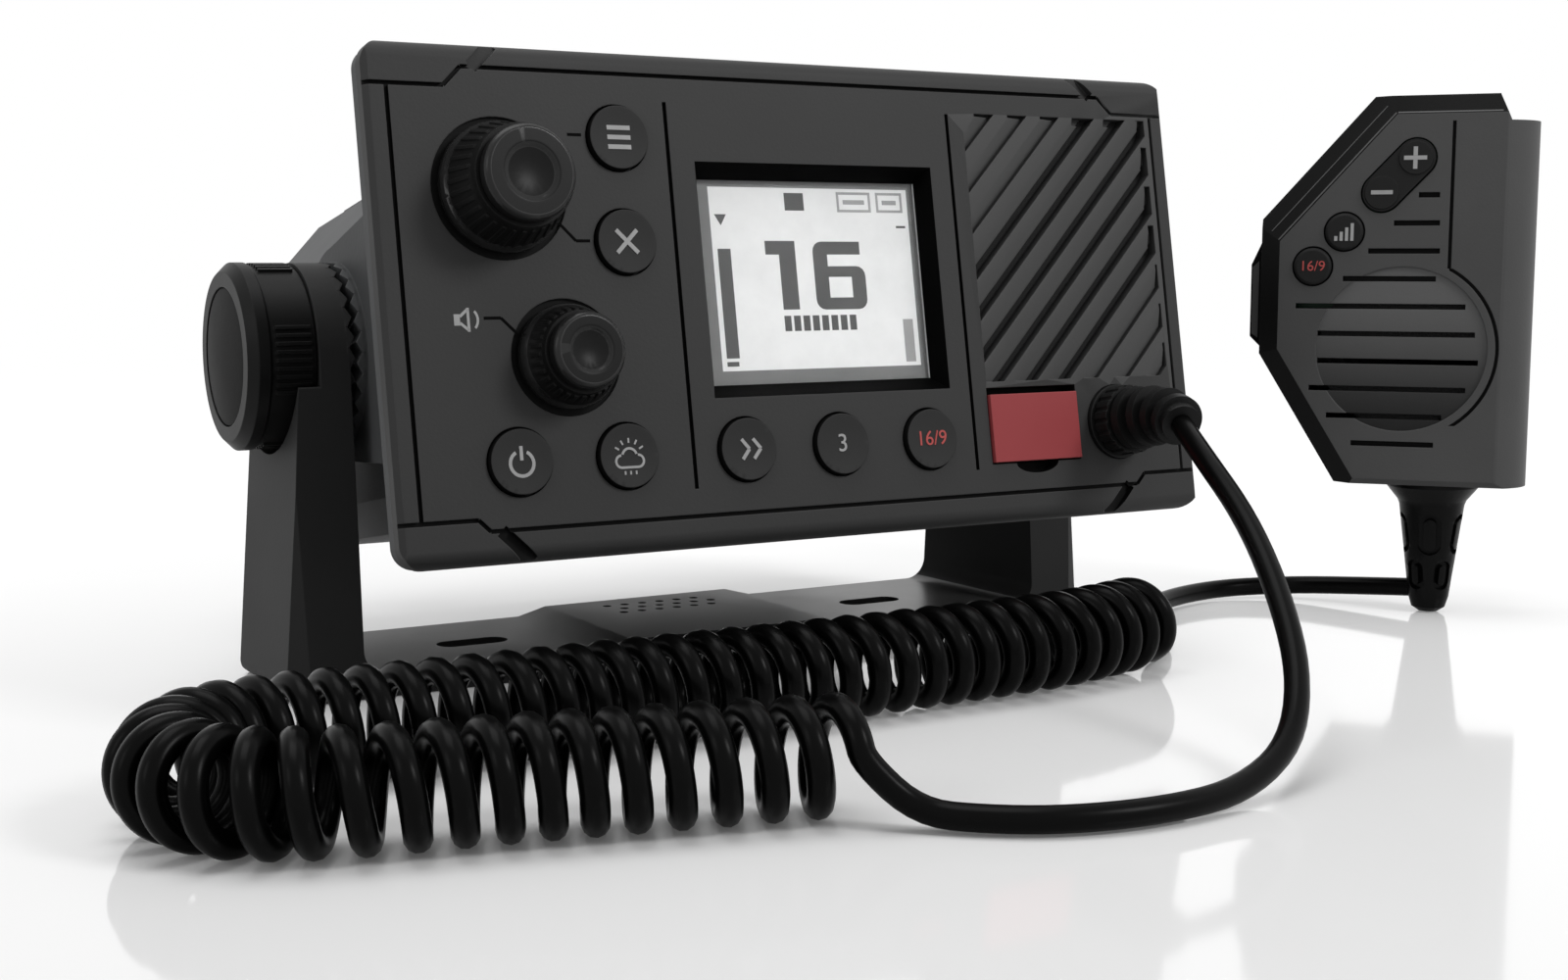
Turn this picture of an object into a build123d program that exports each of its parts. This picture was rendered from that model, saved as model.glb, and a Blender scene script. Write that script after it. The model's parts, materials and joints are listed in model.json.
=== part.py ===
from build123d import *
import math
import os

os.makedirs("parts", exist_ok=True)

# A fixed-mount marine radio in a gimbal bracket, with its hand microphone and coiled lead.
# Millimetres. +X to the right as seen from the front, +Y to the back, +Z up.
# The origin is the centre of the bracket's underside, which stands on the table.

# ---- Radio front -------------------------------------------------------------------------
FACE_W = 161.0
FACE_H = 83.5
FACE_CORNER_R = 4.0
FACE_ROLL_R = 2.8
FACE_SIDE_CHAMFER = 0.9
BEZEL_DEPTH = 3.2
FACE_WALL = 2.4
BEZEL_RIM = 2.2
SKIRT_INSET = 5.2
SKIRT_WALL = 1.4
SKIRT_DEPTH = 6.4
GASKET_T = 0.4
GASKET_INSET = 0.8

SEAM_W = 0.7
SEAM_D = 0.9
TOP_STRIP = 4.1
BOTTOM_STRIP = 5.3
CAP_LENGTH = 13.0
CAP_HEIGHT = 7.2
CAP_SLOT_W = 2.2
CAP_SLOT_D = 1.4
SIDE_SEAM_INSET = 3.6
DIVIDER_1 = 51.9
DIVIDER_2_EDGE = 51.6
DIVIDER_2 = FACE_W - DIVIDER_2_EDGE
DIVIDER_LOW = 9.9
DIVIDER_TOP_EDGE = 8.5
DIVIDER_HIGH = FACE_H - DIVIDER_TOP_EDGE

# ---- Hinge line and stance ---------------------------------------------------------------
PIVOT_Z = 59.5
PIVOT_BACK = 56.7
PIVOT_UP = 41.0
TILT = 10.0

# ---- Keys --------------------------------------------------------------------------------
KEY_R = 5.3
KEY_GAP = 0.35
KEY_PROUD = 1.1
KEY_DISH = 0.35
KEY_FLANGE = 1.0
KEY_FLANGE_T = 0.8
KEY_TRAVEL = 0.8
# The lower row hangs on the lower edge, the menu keys on the upper one, and three keys share
# the bay between the dividers.
KEY_ROW = 16.0
MENU_KEY_DROP = 14.9
CANCEL_KEY_DROP = 32.2
BAY_KEY_EDGE = 0.7
BAY_MIDDLE = (DIVIDER_1 + DIVIDER_2) / 2
BAY_KEY_PITCH = (DIVIDER_2 - DIVIDER_1 - 2 * BAY_KEY_EDGE) / 3
KEY_PLACES = {
    "key_menu": (42.6, FACE_H - MENU_KEY_DROP),
    "key_cancel": (42.5, FACE_H - CANCEL_KEY_DROP),
    "key_power": (20.7, KEY_ROW),
    "key_weather": (39.6, KEY_ROW),
    "key_scan": (BAY_MIDDLE - BAY_KEY_PITCH, KEY_ROW),
    "key_three_channel": (BAY_MIDDLE, KEY_ROW),
    "key_sixteen": (BAY_MIDDLE + BAY_KEY_PITCH, KEY_ROW),
}

# ---- Rotary knobs ------------------------------------------------------------------------
SHAFT_R = 3.0
SHAFT_CLEAR = 0.08
BUSHING_R = 4.4
KNOB_RING_D = 0.6
KNOB_LIFT = 0.4
PUSH_TRAVEL = 0.6
CHANNEL_DROP = 23.6
CHANNEL_AT = (21.2, FACE_H - CHANNEL_DROP)
CHANNEL_R = 10.6
CHANNEL_H = 13.5
VOLUME_AT = (30.3, 32.5)
VOLUME_R = 8.6
VOLUME_H = 10.0
KNOB_CAP_H = 2.9
KNOB_RIBS = 32
ENCODER_SIDE = 13.0

# ---- Display -----------------------------------------------------------------------------
# The display's mouth fills the bay, between the dividers, the lower keys and the top edge.
LCD_LEFT_GAP = 4.85
LCD_RIGHT_GAP = 4.55
LCD_LOW = 24.9
LCD_TOP_GAP = 18.4
LCD_LEFT = DIVIDER_1 + LCD_LEFT_GAP
LCD_RIGHT = DIVIDER_2 - LCD_RIGHT_GAP
LCD_HIGH = FACE_H - LCD_TOP_GAP
LCD_AT = ((LCD_LEFT + LCD_RIGHT) / 2, (LCD_LOW + LCD_HIGH) / 2)
LCD_RECESS_W = LCD_RIGHT - LCD_LEFT
LCD_RECESS_H = LCD_HIGH - LCD_LOW
LCD_SIDE_SLOPE = 1.85
LCD_END_SLOPE = 2.4
LCD_GLASS_W = LCD_RECESS_W - 2 * LCD_SIDE_SLOPE
LCD_GLASS_H = LCD_RECESS_H - 2 * LCD_END_SLOPE
LCD_RECESS_D = 3.3
LCD_LENS_T = 1.2
LCD_LAP = 1.2
LCD_FRAME = 4.2
LCD_MODULE_T = 4.3
FRONT_BOARD_CLEAR = 1.2
BOARD_T = 1.6

# ---- Loudspeaker louvres -----------------------------------------------------------------
GRILLE_GAP = 3.6
GRILLE_SIDE_EDGE = 5.0
GRILLE_TOP_EDGE = 8.2
GRILLE_LEFT = DIVIDER_2 + GRILLE_GAP
GRILLE_RIGHT = FACE_W - GRILLE_SIDE_EDGE
GRILLE_LOW = 25.8
GRILLE_HIGH = FACE_H - GRILLE_TOP_EDGE
LOUVRE_PITCH = 7.6
LOUVRE_DROP = 6.8
LOUVRE_TOP = GRILLE_HIGH - LOUVRE_DROP
LOUVRE_COUNT = 12
LOUVRE_ANGLE = 45.0
LOUVRE_GAP = 1.7
LOUVRE_FACET = 2.1
LOUVRE_FACET_D = 0.7
LOUVRE_HOOK_W = 1.4
LOUVRE_HOOK_D = 1.5
BLIND_GAP = 0.5
BLIND_DEPTH = 1.3
BLIND_ENDS = 3
SPEAKER_R = 19.0
SPEAKER_CLEAR = 0.9
SPEAKER_MAGNET_R = 9.0

# ---- Distress flap and key ---------------------------------------------------------------
POCKET_W = 20.4
POCKET_SIDE_EDGE = 27.8
POCKET_RIGHT = FACE_W - POCKET_SIDE_EDGE
POCKET_LEFT = POCKET_RIGHT - POCKET_W
POCKET_LOW = 10.7
POCKET_HIGH = 24.7
POCKET_D = 4.0
POCKET_FLOOR = 1.4
FLAP_GAP = 0.3
FLAP_T = 1.6
FLAP_PROUD = 0.7
FLAP_HINGE_DROP = 2.1
FLAP_BARREL_R = 0.8
FLAP_PIN_R = 0.5
FLAP_PIN_L = 1.2
FLAP_PIN_CLEAR = 0.08
NOTCH_W = 9.6
NOTCH_H = 2.0
NOTCH_D = 3.0
ALARM_KEY_W = 12.0
ALARM_KEY_H = 7.0
ALARM_KEY_TOP = -2.0

# ---- Microphone socket and plug ----------------------------------------------------------
SOCKET_SIDE_EDGE = 18.4
SOCKET_AT = (FACE_W - SOCKET_SIDE_EDGE, 17.3)
SOCKET_R = 7.0
SOCKET_CLEAR = 0.1
SOCKET_PROUD = 0.9
SOCKET_DEPTH = 10.0
PLUG_R = 4.8
PLUG_FIT = 0.1
NUT_R = 6.5
NUT_T = 3.4
NUT_BORE_CLEAR = 0.08
NUT_FLUTES = 18
BOOT_STRAIGHT = 6.0
BOOT_BEND_R = 15.0
BOOT_BEND = 38.0
BOOT_DROOP = 52.0
BOOT_CORE_R = 3.6
BOOT_RIBS = (5.9, 5.6, 5.1, 4.6)
BOOT_RIB_T = 1.9

# ---- Rear housing ------------------------------------------------------------------------
FLANGE_T = 2.5
FLANGE_INSET = 0.3
FLANGE_WALL = 4.4
FLANGE_WALL_STEP = 1.4
SHOULDER_SIDE = 5.0
SHOULDER_EDGE = 6.25
SHOULDER_T = 8.0
HOUSING_W = 132.0
HOUSING_LOW = 8.0
HOUSING_TOP_EDGE = 6.5
HOUSING_TOP = FACE_H - HOUSING_TOP_EDGE
HOUSING_LOW_CHAMFER = 6.0
HOUSING_SLOPE_H = 17.0
HOUSING_SIDE_TOP = HOUSING_TOP - HOUSING_SLOPE_H
HOUSING_TOP_SLOPE = 16.0
HOUSING_DEPTH = 124.7
HOUSING_WALL = 3.0
SHOULDER_W = HOUSING_W + 2 * SHOULDER_SIDE
SHOULDER_H = FACE_H - 2 * SHOULDER_EDGE
# The loudspeaker's centre keeps clear of the front's skirt and of the housing's side wall.
SPEAKER_OUT = min(
    FACE_W / 2 - SKIRT_INSET - SKIRT_WALL - SPEAKER_CLEAR - SPEAKER_R,
    HOUSING_W / 2 - HOUSING_WALL - SPEAKER_MAGNET_R,
)
SPEAKER_AT = (FACE_W / 2 + SPEAKER_OUT, (GRILLE_LOW + GRILLE_HIGH) / 2)
FIN_COUNT = 11
FIN_T = 2.0
FIN_H = 3.8
FIN_PITCH = 8.6
FIN_START = 30.0
CHEEK_T = 3.6
CHEEK_UP = 19.5
CHEEK_FRONT_UP = 24.5
CHEEK_FRONT = 45.0

# ---- Gimbal joint ------------------------------------------------------------------------
HUB_R = 16.5
TOOTH_COUNT = 28
TOOTH_H = 1.0
TOOTH_INNER_R = 10.0
TOOTH_GAP = 0.3
BOSS_OUT = 4.6
BRACKET_INNER = HOUSING_W / 2 + BOSS_OUT + 2 * TOOTH_H + TOOTH_GAP
HUB_T = 5.4
STUD_R = 3.0
STUD_CLEAR = 0.08
INSERT_R = 5.0
INSERT_L = 9.0
KNOB_GAP = 0.3
CLAMP_R = 16.6
CLAMP_BARREL_L = 7.7
CLAMP_CAP_L = 4.0
CLAMP_CAP_EDGE = 1.6
CLAMP_DISC_R = 12.3
CLAMP_DISC_RISE = 1.1
CLAMP_ZONES = 4
CLAMP_ZONE_RIBS = 9
CLAMP_RIB_STEP = 5.0
CLAMP_RIB_H = 0.5

# ---- Gimbal bracket ----------------------------------------------------------------------
BASE_T = 4.0
BASE_HALF_D = 20.5
LEG_FOOT_T = 13.5
LEG_FOOT = BRACKET_INNER + LEG_FOOT_T
LEG_SPLAY = 0.075
LEG_INNER_FILLET = 4.5
LEG_OUTER_FILLET = 3.0
SCOOP_CLEAR = 0.9
LEG_REAR_SLANT = 9.0
LEG_REAR_SLANT_IN = 7.0
LEG_FRONT_CHAMFER = 2.0
SLOT_SPACING = 90.0
SLOT_LENGTH = 14.0
SLOT_R = 3.0
PAD_HALF_W = 27.0
PAD_RISE = 1.6
PAD_RAMP = 6.0
DIMPLE_R = 0.9
DIMPLE_STEP = 4.0
DIMPLE_ROWS = 3
DIMPLE_COLUMNS = 6

# ---- Hand microphone ---------------------------------------------------------------------
MIC_X = 156.9
MIC_Y = -52.4
MIC_TURN = 50.0
MIC_LEFT = -36.9
MIC_RIGHT = 18.9
MIC_BOTTOM = 28.5
MIC_TOP = 110.6
MIC_TOP_LEFT = -14.2
MIC_TOP_RIGHT = 10.8
MIC_STEP = 105.0
MIC_STEP_LEFT = 13.2
MIC_UPPER_KNEE = 85.0
MIC_LOWER_KNEE = 56.0
MIC_FOOT_LEFT = -20.3
MIC_FRONT = 12.0
MIC_PARTING = -1.0
MIC_BACK = -13.0
# Bevels: how far in from the outline, and how far back from the face.
MIC_TOP_BEVEL = (4.0, 3.0)
MIC_UPPER_BEVEL = (6.3, 5.0)
MIC_LEFT_BEVEL = (4.2, 4.0)
MIC_FOOT_BEVEL = (1.2, 1.2)
MIC_REAR_BEVEL = (3.0, 3.0)
MIC_SIDE_IN = 6.5
MIC_SIDE_BACK = 10.0
MIC_SIDE_BULGE = 1.75
MIC_WALL = 2.0
MIC_GASKET_T = 0.4
MIC_GASKET_INSET = 0.5
MIC_ROUND_AT = (-7.2, 57.5)
MIC_ROUND_R = 17.4
MIC_ROUND_D = 0.5
MIC_SPEAKER_R = 15.0
MIC_MAGNET_R = 7.5
MIC_SLOT_PITCH = 5.83
MIC_SLOT_TOP = 89.8
MIC_SLOT_W = 1.1
MIC_SLOT_ENDS = (
    (-4.6, -0.4),
    (-9.4, -0.2),
    (-14.4, 0.0),
    (-19.4, -0.6),
    (-29.0, 5.5),
    (-24.3, 7.6),
    (-24.2, 8.4),
    (-25.8, 6.1),
    (-22.0, 1.5),
    (-16.7, 0.1),
)
MIC_OPEN_SLOTS = (4, 5, 6, 7, 8)
MIC_SEAM_U = 2.0
MIC_SEAM_R = 19.3
MIC_KEY_R = 3.95
MIC_KEY_GAP = 0.3
MIC_KEY_PROUD = 0.7
MIC_KEY_TRAVEL = 0.6
MIC_ROCKER_AT = (-8.7, 93.9)
MIC_ROCKER_HALF = 4.9
MIC_ROCKER_ANGLE = 47.0
MIC_POWER_AT = (-19.4, 82.2)
MIC_CHANNEL_AT = (-25.7, 74.9)
MIC_ELEMENT_AT = (6.5, 38.0)
MIC_SCREWS = ((-24.0, 62.0), (9.5, 98.0), (12.0, 36.0))
PTT_OUT = -39.3
PTT_LOW = 57.2
PTT_HIGH = 80.6
PTT_TOP_SLOPE = 5.4
PTT_FOOT_SLOPE = 2.4
PTT_HALF_D = 5.4
PTT_LAP = 0.8
PTT_GAP = 0.35
PTT_TRAVEL = 1.6
MIC_BOOT_R = 7.2
MIC_BOOT_TOP_R = 6.8
MIC_BOOT_TIP_R = 4.2
MIC_BOOT_TIP_H = 3.2
MIC_COLLAR_R = 9.6
MIC_COLLAR_H = 4.0
MIC_BOOT_FOOT = 5.0
# Loops pressed into the boot: height, distance from the axis, overall length and width.
MIC_BOOT_LOOPS = ((17.4, 4.9, 9.0, 4.8), (8.4, 3.9, 6.6, 3.8))
MIC_LOOPS_ROUND = 5
MIC_LOOP_LINE = 1.1
# The lower row leaves out the loop on the side where the lead comes in.
MIC_LEAD_LOOP = (1, 3)

# ---- Cord --------------------------------------------------------------------------------
CORD_R = 2.0
CORD_Z = 2.1
COIL_R = 8.75
PLUG_LEAD_OUT = 12.0
PLUG_LEAD_ROUTE = (
    (50.0, -108.0, 34.0),
    (43.8, -122.5, 23.8),
    (36.5, -134.8, 13.9),
    (26.5, -143.6, 6.0),
    (12.5, -148.4, CORD_Z),
    (-3.5, -150.5, CORD_Z),
    (-18.0, -147.6, CORD_Z),
    (-28.5, -139.5, CORD_Z),
    (-34.4, -128.0, CORD_Z),
    (-38.9, -119.8, CORD_Z),
)
COIL_ROUTE = (
    (-38.5, -124.5),
    (-58.0, -119.5),
    (-84.0, -112.5),
    (-111.5, -107.0),
    (-122.0, -96.5),
    (-122.0, -81.5),
    (-111.5, -71.0),
    (-84.0, -73.0),
    (-50.0, -73.8),
    (-15.0, -75.0),
    (18.0, -74.6),
    (43.0, -73.6),
    (61.5, -67.5),
)
MIC_LEAD_ROUTE = (
    (59.0, -68.9, CORD_Z),
    (71.5, -62.4, CORD_Z),
    (80.5, -53.5, CORD_Z),
    (88.0, -41.0, CORD_Z),
    (98.0, -28.0, CORD_Z),
    (112.5, -20.3, CORD_Z),
    (128.0, -17.6, 2.2),
    (140.0, -22.6, 2.6),
    (147.5, -31.5, 3.4),
)

# ---- Frames ------------------------------------------------------------------------------
# Radio pieces are drawn on the face: x from its left edge, y from its lower edge, z proud.
FACE = Plane(origin=(-FACE_W / 2, -PIVOT_BACK, -PIVOT_UP), x_dir=(1, 0, 0), z_dir=(0, -1, 0))
RADIO = Pos(0, 0, PIVOT_Z) * Rot(-TILT, 0, 0) * FACE.location
# Side views of the radio: x to the back from the hinge line, y up, z to the right.
SIDE = Plane(origin=(FACE_W / 2, PIVOT_UP, -PIVOT_BACK), x_dir=(0, 0, -1), z_dir=(1, 0, 0))
# Microphone pieces: x to its right, y up from the table, z proud of the boot's centre line.
MIC = Pos(MIC_X, MIC_Y, 0) * Rot(0, 0, -MIC_TURN)
MIC = MIC * Plane(origin=(0, 0, 0), x_dir=(1, 0, 0), z_dir=(0, -1, 0)).location
WORLD = Location((0, 0, 0))

WITH_BASE = (Align.CENTER, Align.CENTER, Align.MIN)


def save(name, frame, shape):
    """Writes one sub-part in the part's own frame."""
    placed = frame * shape
    placed.label = name
    export_step(placed, f"parts/{name}.step")


def rod(at, radius, low, high):
    """A round bar on a face point, between two heights along the face's normal."""
    return Pos(at[0], at[1], low) * Cylinder(radius, high - low, align=WITH_BASE)


def slab(left, right, low, high, back, front):
    """A box given by its sides, its lower and upper edge, its back and its front."""
    centre = Pos((left + right) / 2, (low + high) / 2, (back + front) / 2)
    return centre * Box(right - left, high - low, front - back)


def bar(start, end, width, back, front):
    """A straight rib or groove from one face point to another."""
    run, rise = end[0] - start[0], end[1] - start[1]
    centre = Pos((start[0] + end[0]) / 2, (start[1] + end[1]) / 2, (back + front) / 2)
    turned = centre * Rot(0, 0, math.degrees(math.atan2(rise, run)))
    return turned * Box(math.hypot(run, rise), width, front - back)


def rounded_slab(width, height, radius, back, front, at=None):
    """A rounded rectangle block, centred on the face unless a centre is given."""
    centre = at or (FACE_W / 2, FACE_H / 2)
    outline = Pos(centre[0], centre[1], back) * RectangleRounded(width, height, radius)
    return extrude(outline, front - back)


def on_side(across, shape):
    """Puts a side-view shape at a distance right of the hinge's middle."""
    return SIDE * Pos(0, 0, across) * shape


# ---- Radio front -------------------------------------------------------------------------
def bezel_blank():
    """The front moulding's outside: rolled top and bottom, chamfered sides, round corners."""
    roll = Pos(FACE_H / 2, -BEZEL_DEPTH / 2) * Rectangle(FACE_H, BEZEL_DEPTH)
    roll = fillet(roll.vertices().group_by(Axis.Y)[-1], FACE_ROLL_R)
    sides = Pos(FACE_W / 2, -BEZEL_DEPTH / 2) * Rectangle(FACE_W, BEZEL_DEPTH)
    sides = chamfer(sides.vertices().group_by(Axis.Y)[-1], FACE_SIDE_CHAMFER)
    outline = rounded_slab(FACE_W, FACE_H, FACE_CORNER_R, -BEZEL_DEPTH, 0)
    return outline & extrude(Plane.YZ * roll, FACE_W) & extrude(Plane.XZ * sides, -FACE_H)


def corner_seams(right, top):
    """The seam round one corner cap, with the slanted slot that ends the edge strip."""
    edge = FACE_W if right else 0
    inward = -1 if right else 1
    level = FACE_H - CAP_HEIGHT if top else CAP_HEIGHT
    strip = FACE_H - TOP_STRIP if top else BOTTOM_STRIP
    rim = FACE_H if top else 0
    rise = abs(strip - level)
    reach = abs(rim - level)
    knee = edge + inward * CAP_LENGTH
    strip_knee = knee + inward * rise
    rim_knee = knee + inward * reach
    step = inward * (CAP_SLOT_W / 2 + SEAM_W)
    flat = bar((edge, level), (knee, level), SEAM_W, -SEAM_D, 1)
    slope = bar((knee, level), (strip_knee, strip), SEAM_W, -SEAM_D, 1)
    slot = bar((strip_knee + step, strip), (rim_knee + step, rim), CAP_SLOT_W, -CAP_SLOT_D, 1)
    return [flat, slope, slot]


def face_seams():
    """Every shallow seam on the face: edge strips, corner caps, side seams and dividers."""
    seams = []
    for top in (False, True):
        level = FACE_H - TOP_STRIP if top else BOTTOM_STRIP
        cap = FACE_H - CAP_HEIGHT if top else CAP_HEIGHT
        inset = CAP_LENGTH + abs(level - cap)
        seams.append(bar((inset, level), (FACE_W - inset, level), SEAM_W, -SEAM_D, 1))
        seams += corner_seams(False, top) + corner_seams(True, top)
    for across in (SIDE_SEAM_INSET, FACE_W - SIDE_SEAM_INSET):
        low, high = (across, CAP_HEIGHT), (across, FACE_H - CAP_HEIGHT)
        seams.append(bar(low, high, SEAM_W, -SEAM_D, 1))
    for across in (DIVIDER_1, DIVIDER_2):
        seams.append(bar((across, DIVIDER_LOW), (across, DIVIDER_HIGH), SEAM_W, -SEAM_D, 1))
    return seams


def louvre_cutter(index):
    """One slanted louvre: a gap with a sloping facet along its upper side."""
    blind = index < BLIND_ENDS or index >= LOUVRE_COUNT - BLIND_ENDS
    half = (BLIND_GAP if blind else LOUVRE_GAP) / 2
    floor = -BLIND_DEPTH if blind else -FACE_WALL - 1
    section = Polygon(
        (-half, 1),
        (-half, floor),
        (half, floor),
        (half, -LOUVRE_FACET_D),
        (half + LOUVRE_FACET, 0),
        (half + LOUVRE_FACET, 1),
        align=None,
    )
    angle = math.radians(LOUVRE_ANGLE)
    along = (math.cos(angle), math.sin(angle), 0)
    across = (-math.sin(angle), math.cos(angle), 0)
    start = (GRILLE_LEFT - FACE_H / 2, LOUVRE_TOP - index * LOUVRE_PITCH - FACE_H / 2, 0)
    plane = Plane(origin=start, x_dir=across, z_dir=along)
    return extrude(plane * section, 3 * FACE_H)


def louvre_hook(index):
    """The short pocket where a louvre's facet meets the grille's top or right edge."""
    blind = index < BLIND_ENDS or index >= LOUVRE_COUNT - BLIND_ENDS
    width = BLIND_GAP if blind else LOUVRE_HOOK_W
    angle = math.radians(LOUVRE_ANGLE)
    length = (LOUVRE_GAP / 2 + LOUVRE_FACET) / math.cos(angle)
    start = LOUVRE_TOP - index * LOUVRE_PITCH
    top_end = GRILLE_LEFT + (GRILLE_HIGH - start) / math.tan(angle)
    if top_end < GRILLE_RIGHT:
        sides = (top_end - length, top_end, GRILLE_HIGH - width, GRILLE_HIGH)
    else:
        right_end = start + (GRILLE_RIGHT - GRILLE_LEFT) * math.tan(angle)
        sides = (GRILLE_RIGHT - width, GRILLE_RIGHT, right_end, right_end + length)
    return slab(*sides, -LOUVRE_HOOK_D, 1)


def louvres():
    """All louvre cutters with their hooks, trimmed to the grille's field."""
    field = slab(GRILLE_LEFT, GRILLE_RIGHT, GRILLE_LOW, GRILLE_HIGH, -FACE_WALL - 1, 1)
    cutters = []
    for index in range(LOUVRE_COUNT):
        cutters += [louvre_cutter(index) & field, louvre_hook(index) & field]
    return cutters


def lcd_recess():
    """The bevelled well that leads down to the display's lens."""
    mouth = Pos(*LCD_AT, 0) * Rectangle(LCD_RECESS_W, LCD_RECESS_H)
    floor = Pos(*LCD_AT, -LCD_RECESS_D) * Rectangle(LCD_GLASS_W, LCD_GLASS_H)
    return loft([floor, mouth])


def flap_axis():
    """The flap's hinge line, as a face point and a height."""
    return POCKET_HIGH - FLAP_HINGE_DROP, FLAP_PROUD - FLAP_T


def flap_pins(radius, length):
    """Round bars on the flap's hinge line, past both ends of the flap."""
    level, height = flap_axis()
    pins = []
    for side, outward in ((POCKET_LEFT + FLAP_GAP, -1), (POCKET_RIGHT - FLAP_GAP, 1)):
        centre = Pos(side + outward * length / 2, level, height) * Rot(0, 90, 0)
        pins.append(centre * Cylinder(radius, length))
    return pins


def make_front_bezel():
    """The front moulding with its wells, louvres, key holes and flap pocket."""
    body = bezel_blank()
    cavity_w, cavity_h = FACE_W - 2 * BEZEL_RIM, FACE_H - 2 * BEZEL_RIM
    body -= rounded_slab(cavity_w, cavity_h, FACE_CORNER_R / 2, -BEZEL_DEPTH, -FACE_WALL)
    skirt_w, skirt_h = FACE_W - 2 * SKIRT_INSET, FACE_H - 2 * SKIRT_INSET
    skirt = rounded_slab(skirt_w, skirt_h, FACE_CORNER_R, -SKIRT_DEPTH, -FACE_WALL)
    inner_w, inner_h = skirt_w - 2 * SKIRT_WALL, skirt_h - 2 * SKIRT_WALL
    skirt -= rounded_slab(inner_w, inner_h, FACE_CORNER_R / 2, -SKIRT_DEPTH, -FACE_WALL)
    frame_w, frame_h = LCD_GLASS_W + 2 * LCD_FRAME, LCD_GLASS_H + 2 * LCD_FRAME
    lens_back = -LCD_RECESS_D - LCD_LENS_T
    frame = rounded_slab(frame_w, frame_h, 1.0, lens_back, -FACE_WALL, LCD_AT)
    pocket_back = -POCKET_D - POCKET_FLOOR
    wall = FACE_WALL
    pocket_box = slab(
        POCKET_LEFT - wall, POCKET_RIGHT + wall, POCKET_LOW - wall, POCKET_HIGH, pocket_back, -wall
    )
    body = body + skirt + frame + pocket_box
    lens_w, lens_h = LCD_GLASS_W + 2 * LCD_LAP, LCD_GLASS_H + 2 * LCD_LAP
    cuts = [lcd_recess()]
    cuts.append(rounded_slab(lens_w, lens_h, 0.6, lens_back, -LCD_RECESS_D, LCD_AT))
    cuts.append(slab(POCKET_LEFT, POCKET_RIGHT, POCKET_LOW, POCKET_HIGH, -POCKET_D, 1))
    cuts += flap_pins(FLAP_PIN_R + FLAP_PIN_CLEAR, FLAP_PIN_L + 2 * FLAP_GAP)
    notch_at = ((POCKET_LEFT + POCKET_RIGHT) / 2, POCKET_LOW)
    notch = Pos(*notch_at, -NOTCH_D) * Ellipse(NOTCH_W / 2, NOTCH_H)
    cuts.append(extrude(notch, NOTCH_D + 1))
    middle = ((POCKET_LEFT + POCKET_RIGHT) / 2, (POCKET_LOW + POCKET_HIGH) / 2)
    hole_w, hole_h = ALARM_KEY_W + 2 * KEY_GAP, ALARM_KEY_H + 2 * KEY_GAP
    cuts.append(rounded_slab(hole_w, hole_h, 1.2, pocket_back, -POCKET_D, middle))
    cuts += [rod(at, KEY_R + KEY_GAP, -FACE_WALL, 0) for at in KEY_PLACES.values()]
    for at, radius in ((CHANNEL_AT, CHANNEL_R), (VOLUME_AT, VOLUME_R)):
        cuts.append(rod(at, radius + 1.0, -KNOB_RING_D, 0))
        cuts.append(rod(at, BUSHING_R + SOCKET_CLEAR, -FACE_WALL, 0))
    cuts.append(rod(SOCKET_AT, SOCKET_R + SOCKET_CLEAR, -FACE_WALL - 1, 0))
    return body - cuts - louvres() - face_seams()


def make_key(at):
    """A round key with a dished top and a flange behind the front wall."""
    stem = rod(at, KEY_R, -FACE_WALL - KEY_GAP - KEY_FLANGE_T, KEY_PROUD)
    flange_back = -FACE_WALL - KEY_GAP - KEY_FLANGE_T
    flange = rod(at, KEY_R + KEY_FLANGE, flange_back, flange_back + KEY_FLANGE_T)
    ball_r = (KEY_R ** 2 + KEY_DISH ** 2) / (2 * KEY_DISH)
    dish = Pos(at[0], at[1], KEY_PROUD + ball_r - KEY_DISH) * Sphere(ball_r)
    return (stem + flange) - dish


def make_distress_key():
    """The oblong key under the flap."""
    middle = ((POCKET_LEFT + POCKET_RIGHT) / 2, (POCKET_LOW + POCKET_HIGH) / 2)
    flange_front = -POCKET_D - POCKET_FLOOR - KEY_GAP
    flange_back = flange_front - KEY_FLANGE_T
    stem = rounded_slab(ALARM_KEY_W, ALARM_KEY_H, 1.0, flange_back, ALARM_KEY_TOP, middle)
    wide, tall = ALARM_KEY_W + 3, ALARM_KEY_H + 3
    return stem + rounded_slab(wide, tall, 1.0, flange_back, flange_front, middle)


def make_distress_flap():
    """The hinged cover, with a round hinge edge, end pins and a finger lip."""
    level, height = flap_axis()
    left, right = POCKET_LEFT + FLAP_GAP, POCKET_RIGHT - FLAP_GAP
    plate = slab(left, right, POCKET_LOW + FLAP_GAP, level + FLAP_BARREL_R, height, FLAP_PROUD)
    barrel = Pos((left + right) / 2, level, height) * Rot(0, 90, 0)
    body = plate + barrel * Cylinder(FLAP_BARREL_R, right - left)
    return body + flap_pins(FLAP_PIN_R, FLAP_PIN_L)


# ---- Rotary knobs ------------------------------------------------------------------------
def knob_core(radius, height):
    """A revolved knob: flared skirt, waist, and the seat for its cap."""
    seat = height - KNOB_CAP_H
    grip = 0.78 * radius
    outline = Polygon(
        (SHAFT_R, KNOB_LIFT),
        (radius, KNOB_LIFT),
        (radius, KNOB_LIFT + 1.4),
        (0.94 * radius, KNOB_LIFT + 2.6),
        (0.84 * radius, 0.62 * seat),
        (grip, 0.86 * seat),
        (grip, seat),
        (SHAFT_R, seat),
        align=None,
    )
    return revolve(Plane.XZ * outline, Axis.Z)


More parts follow.
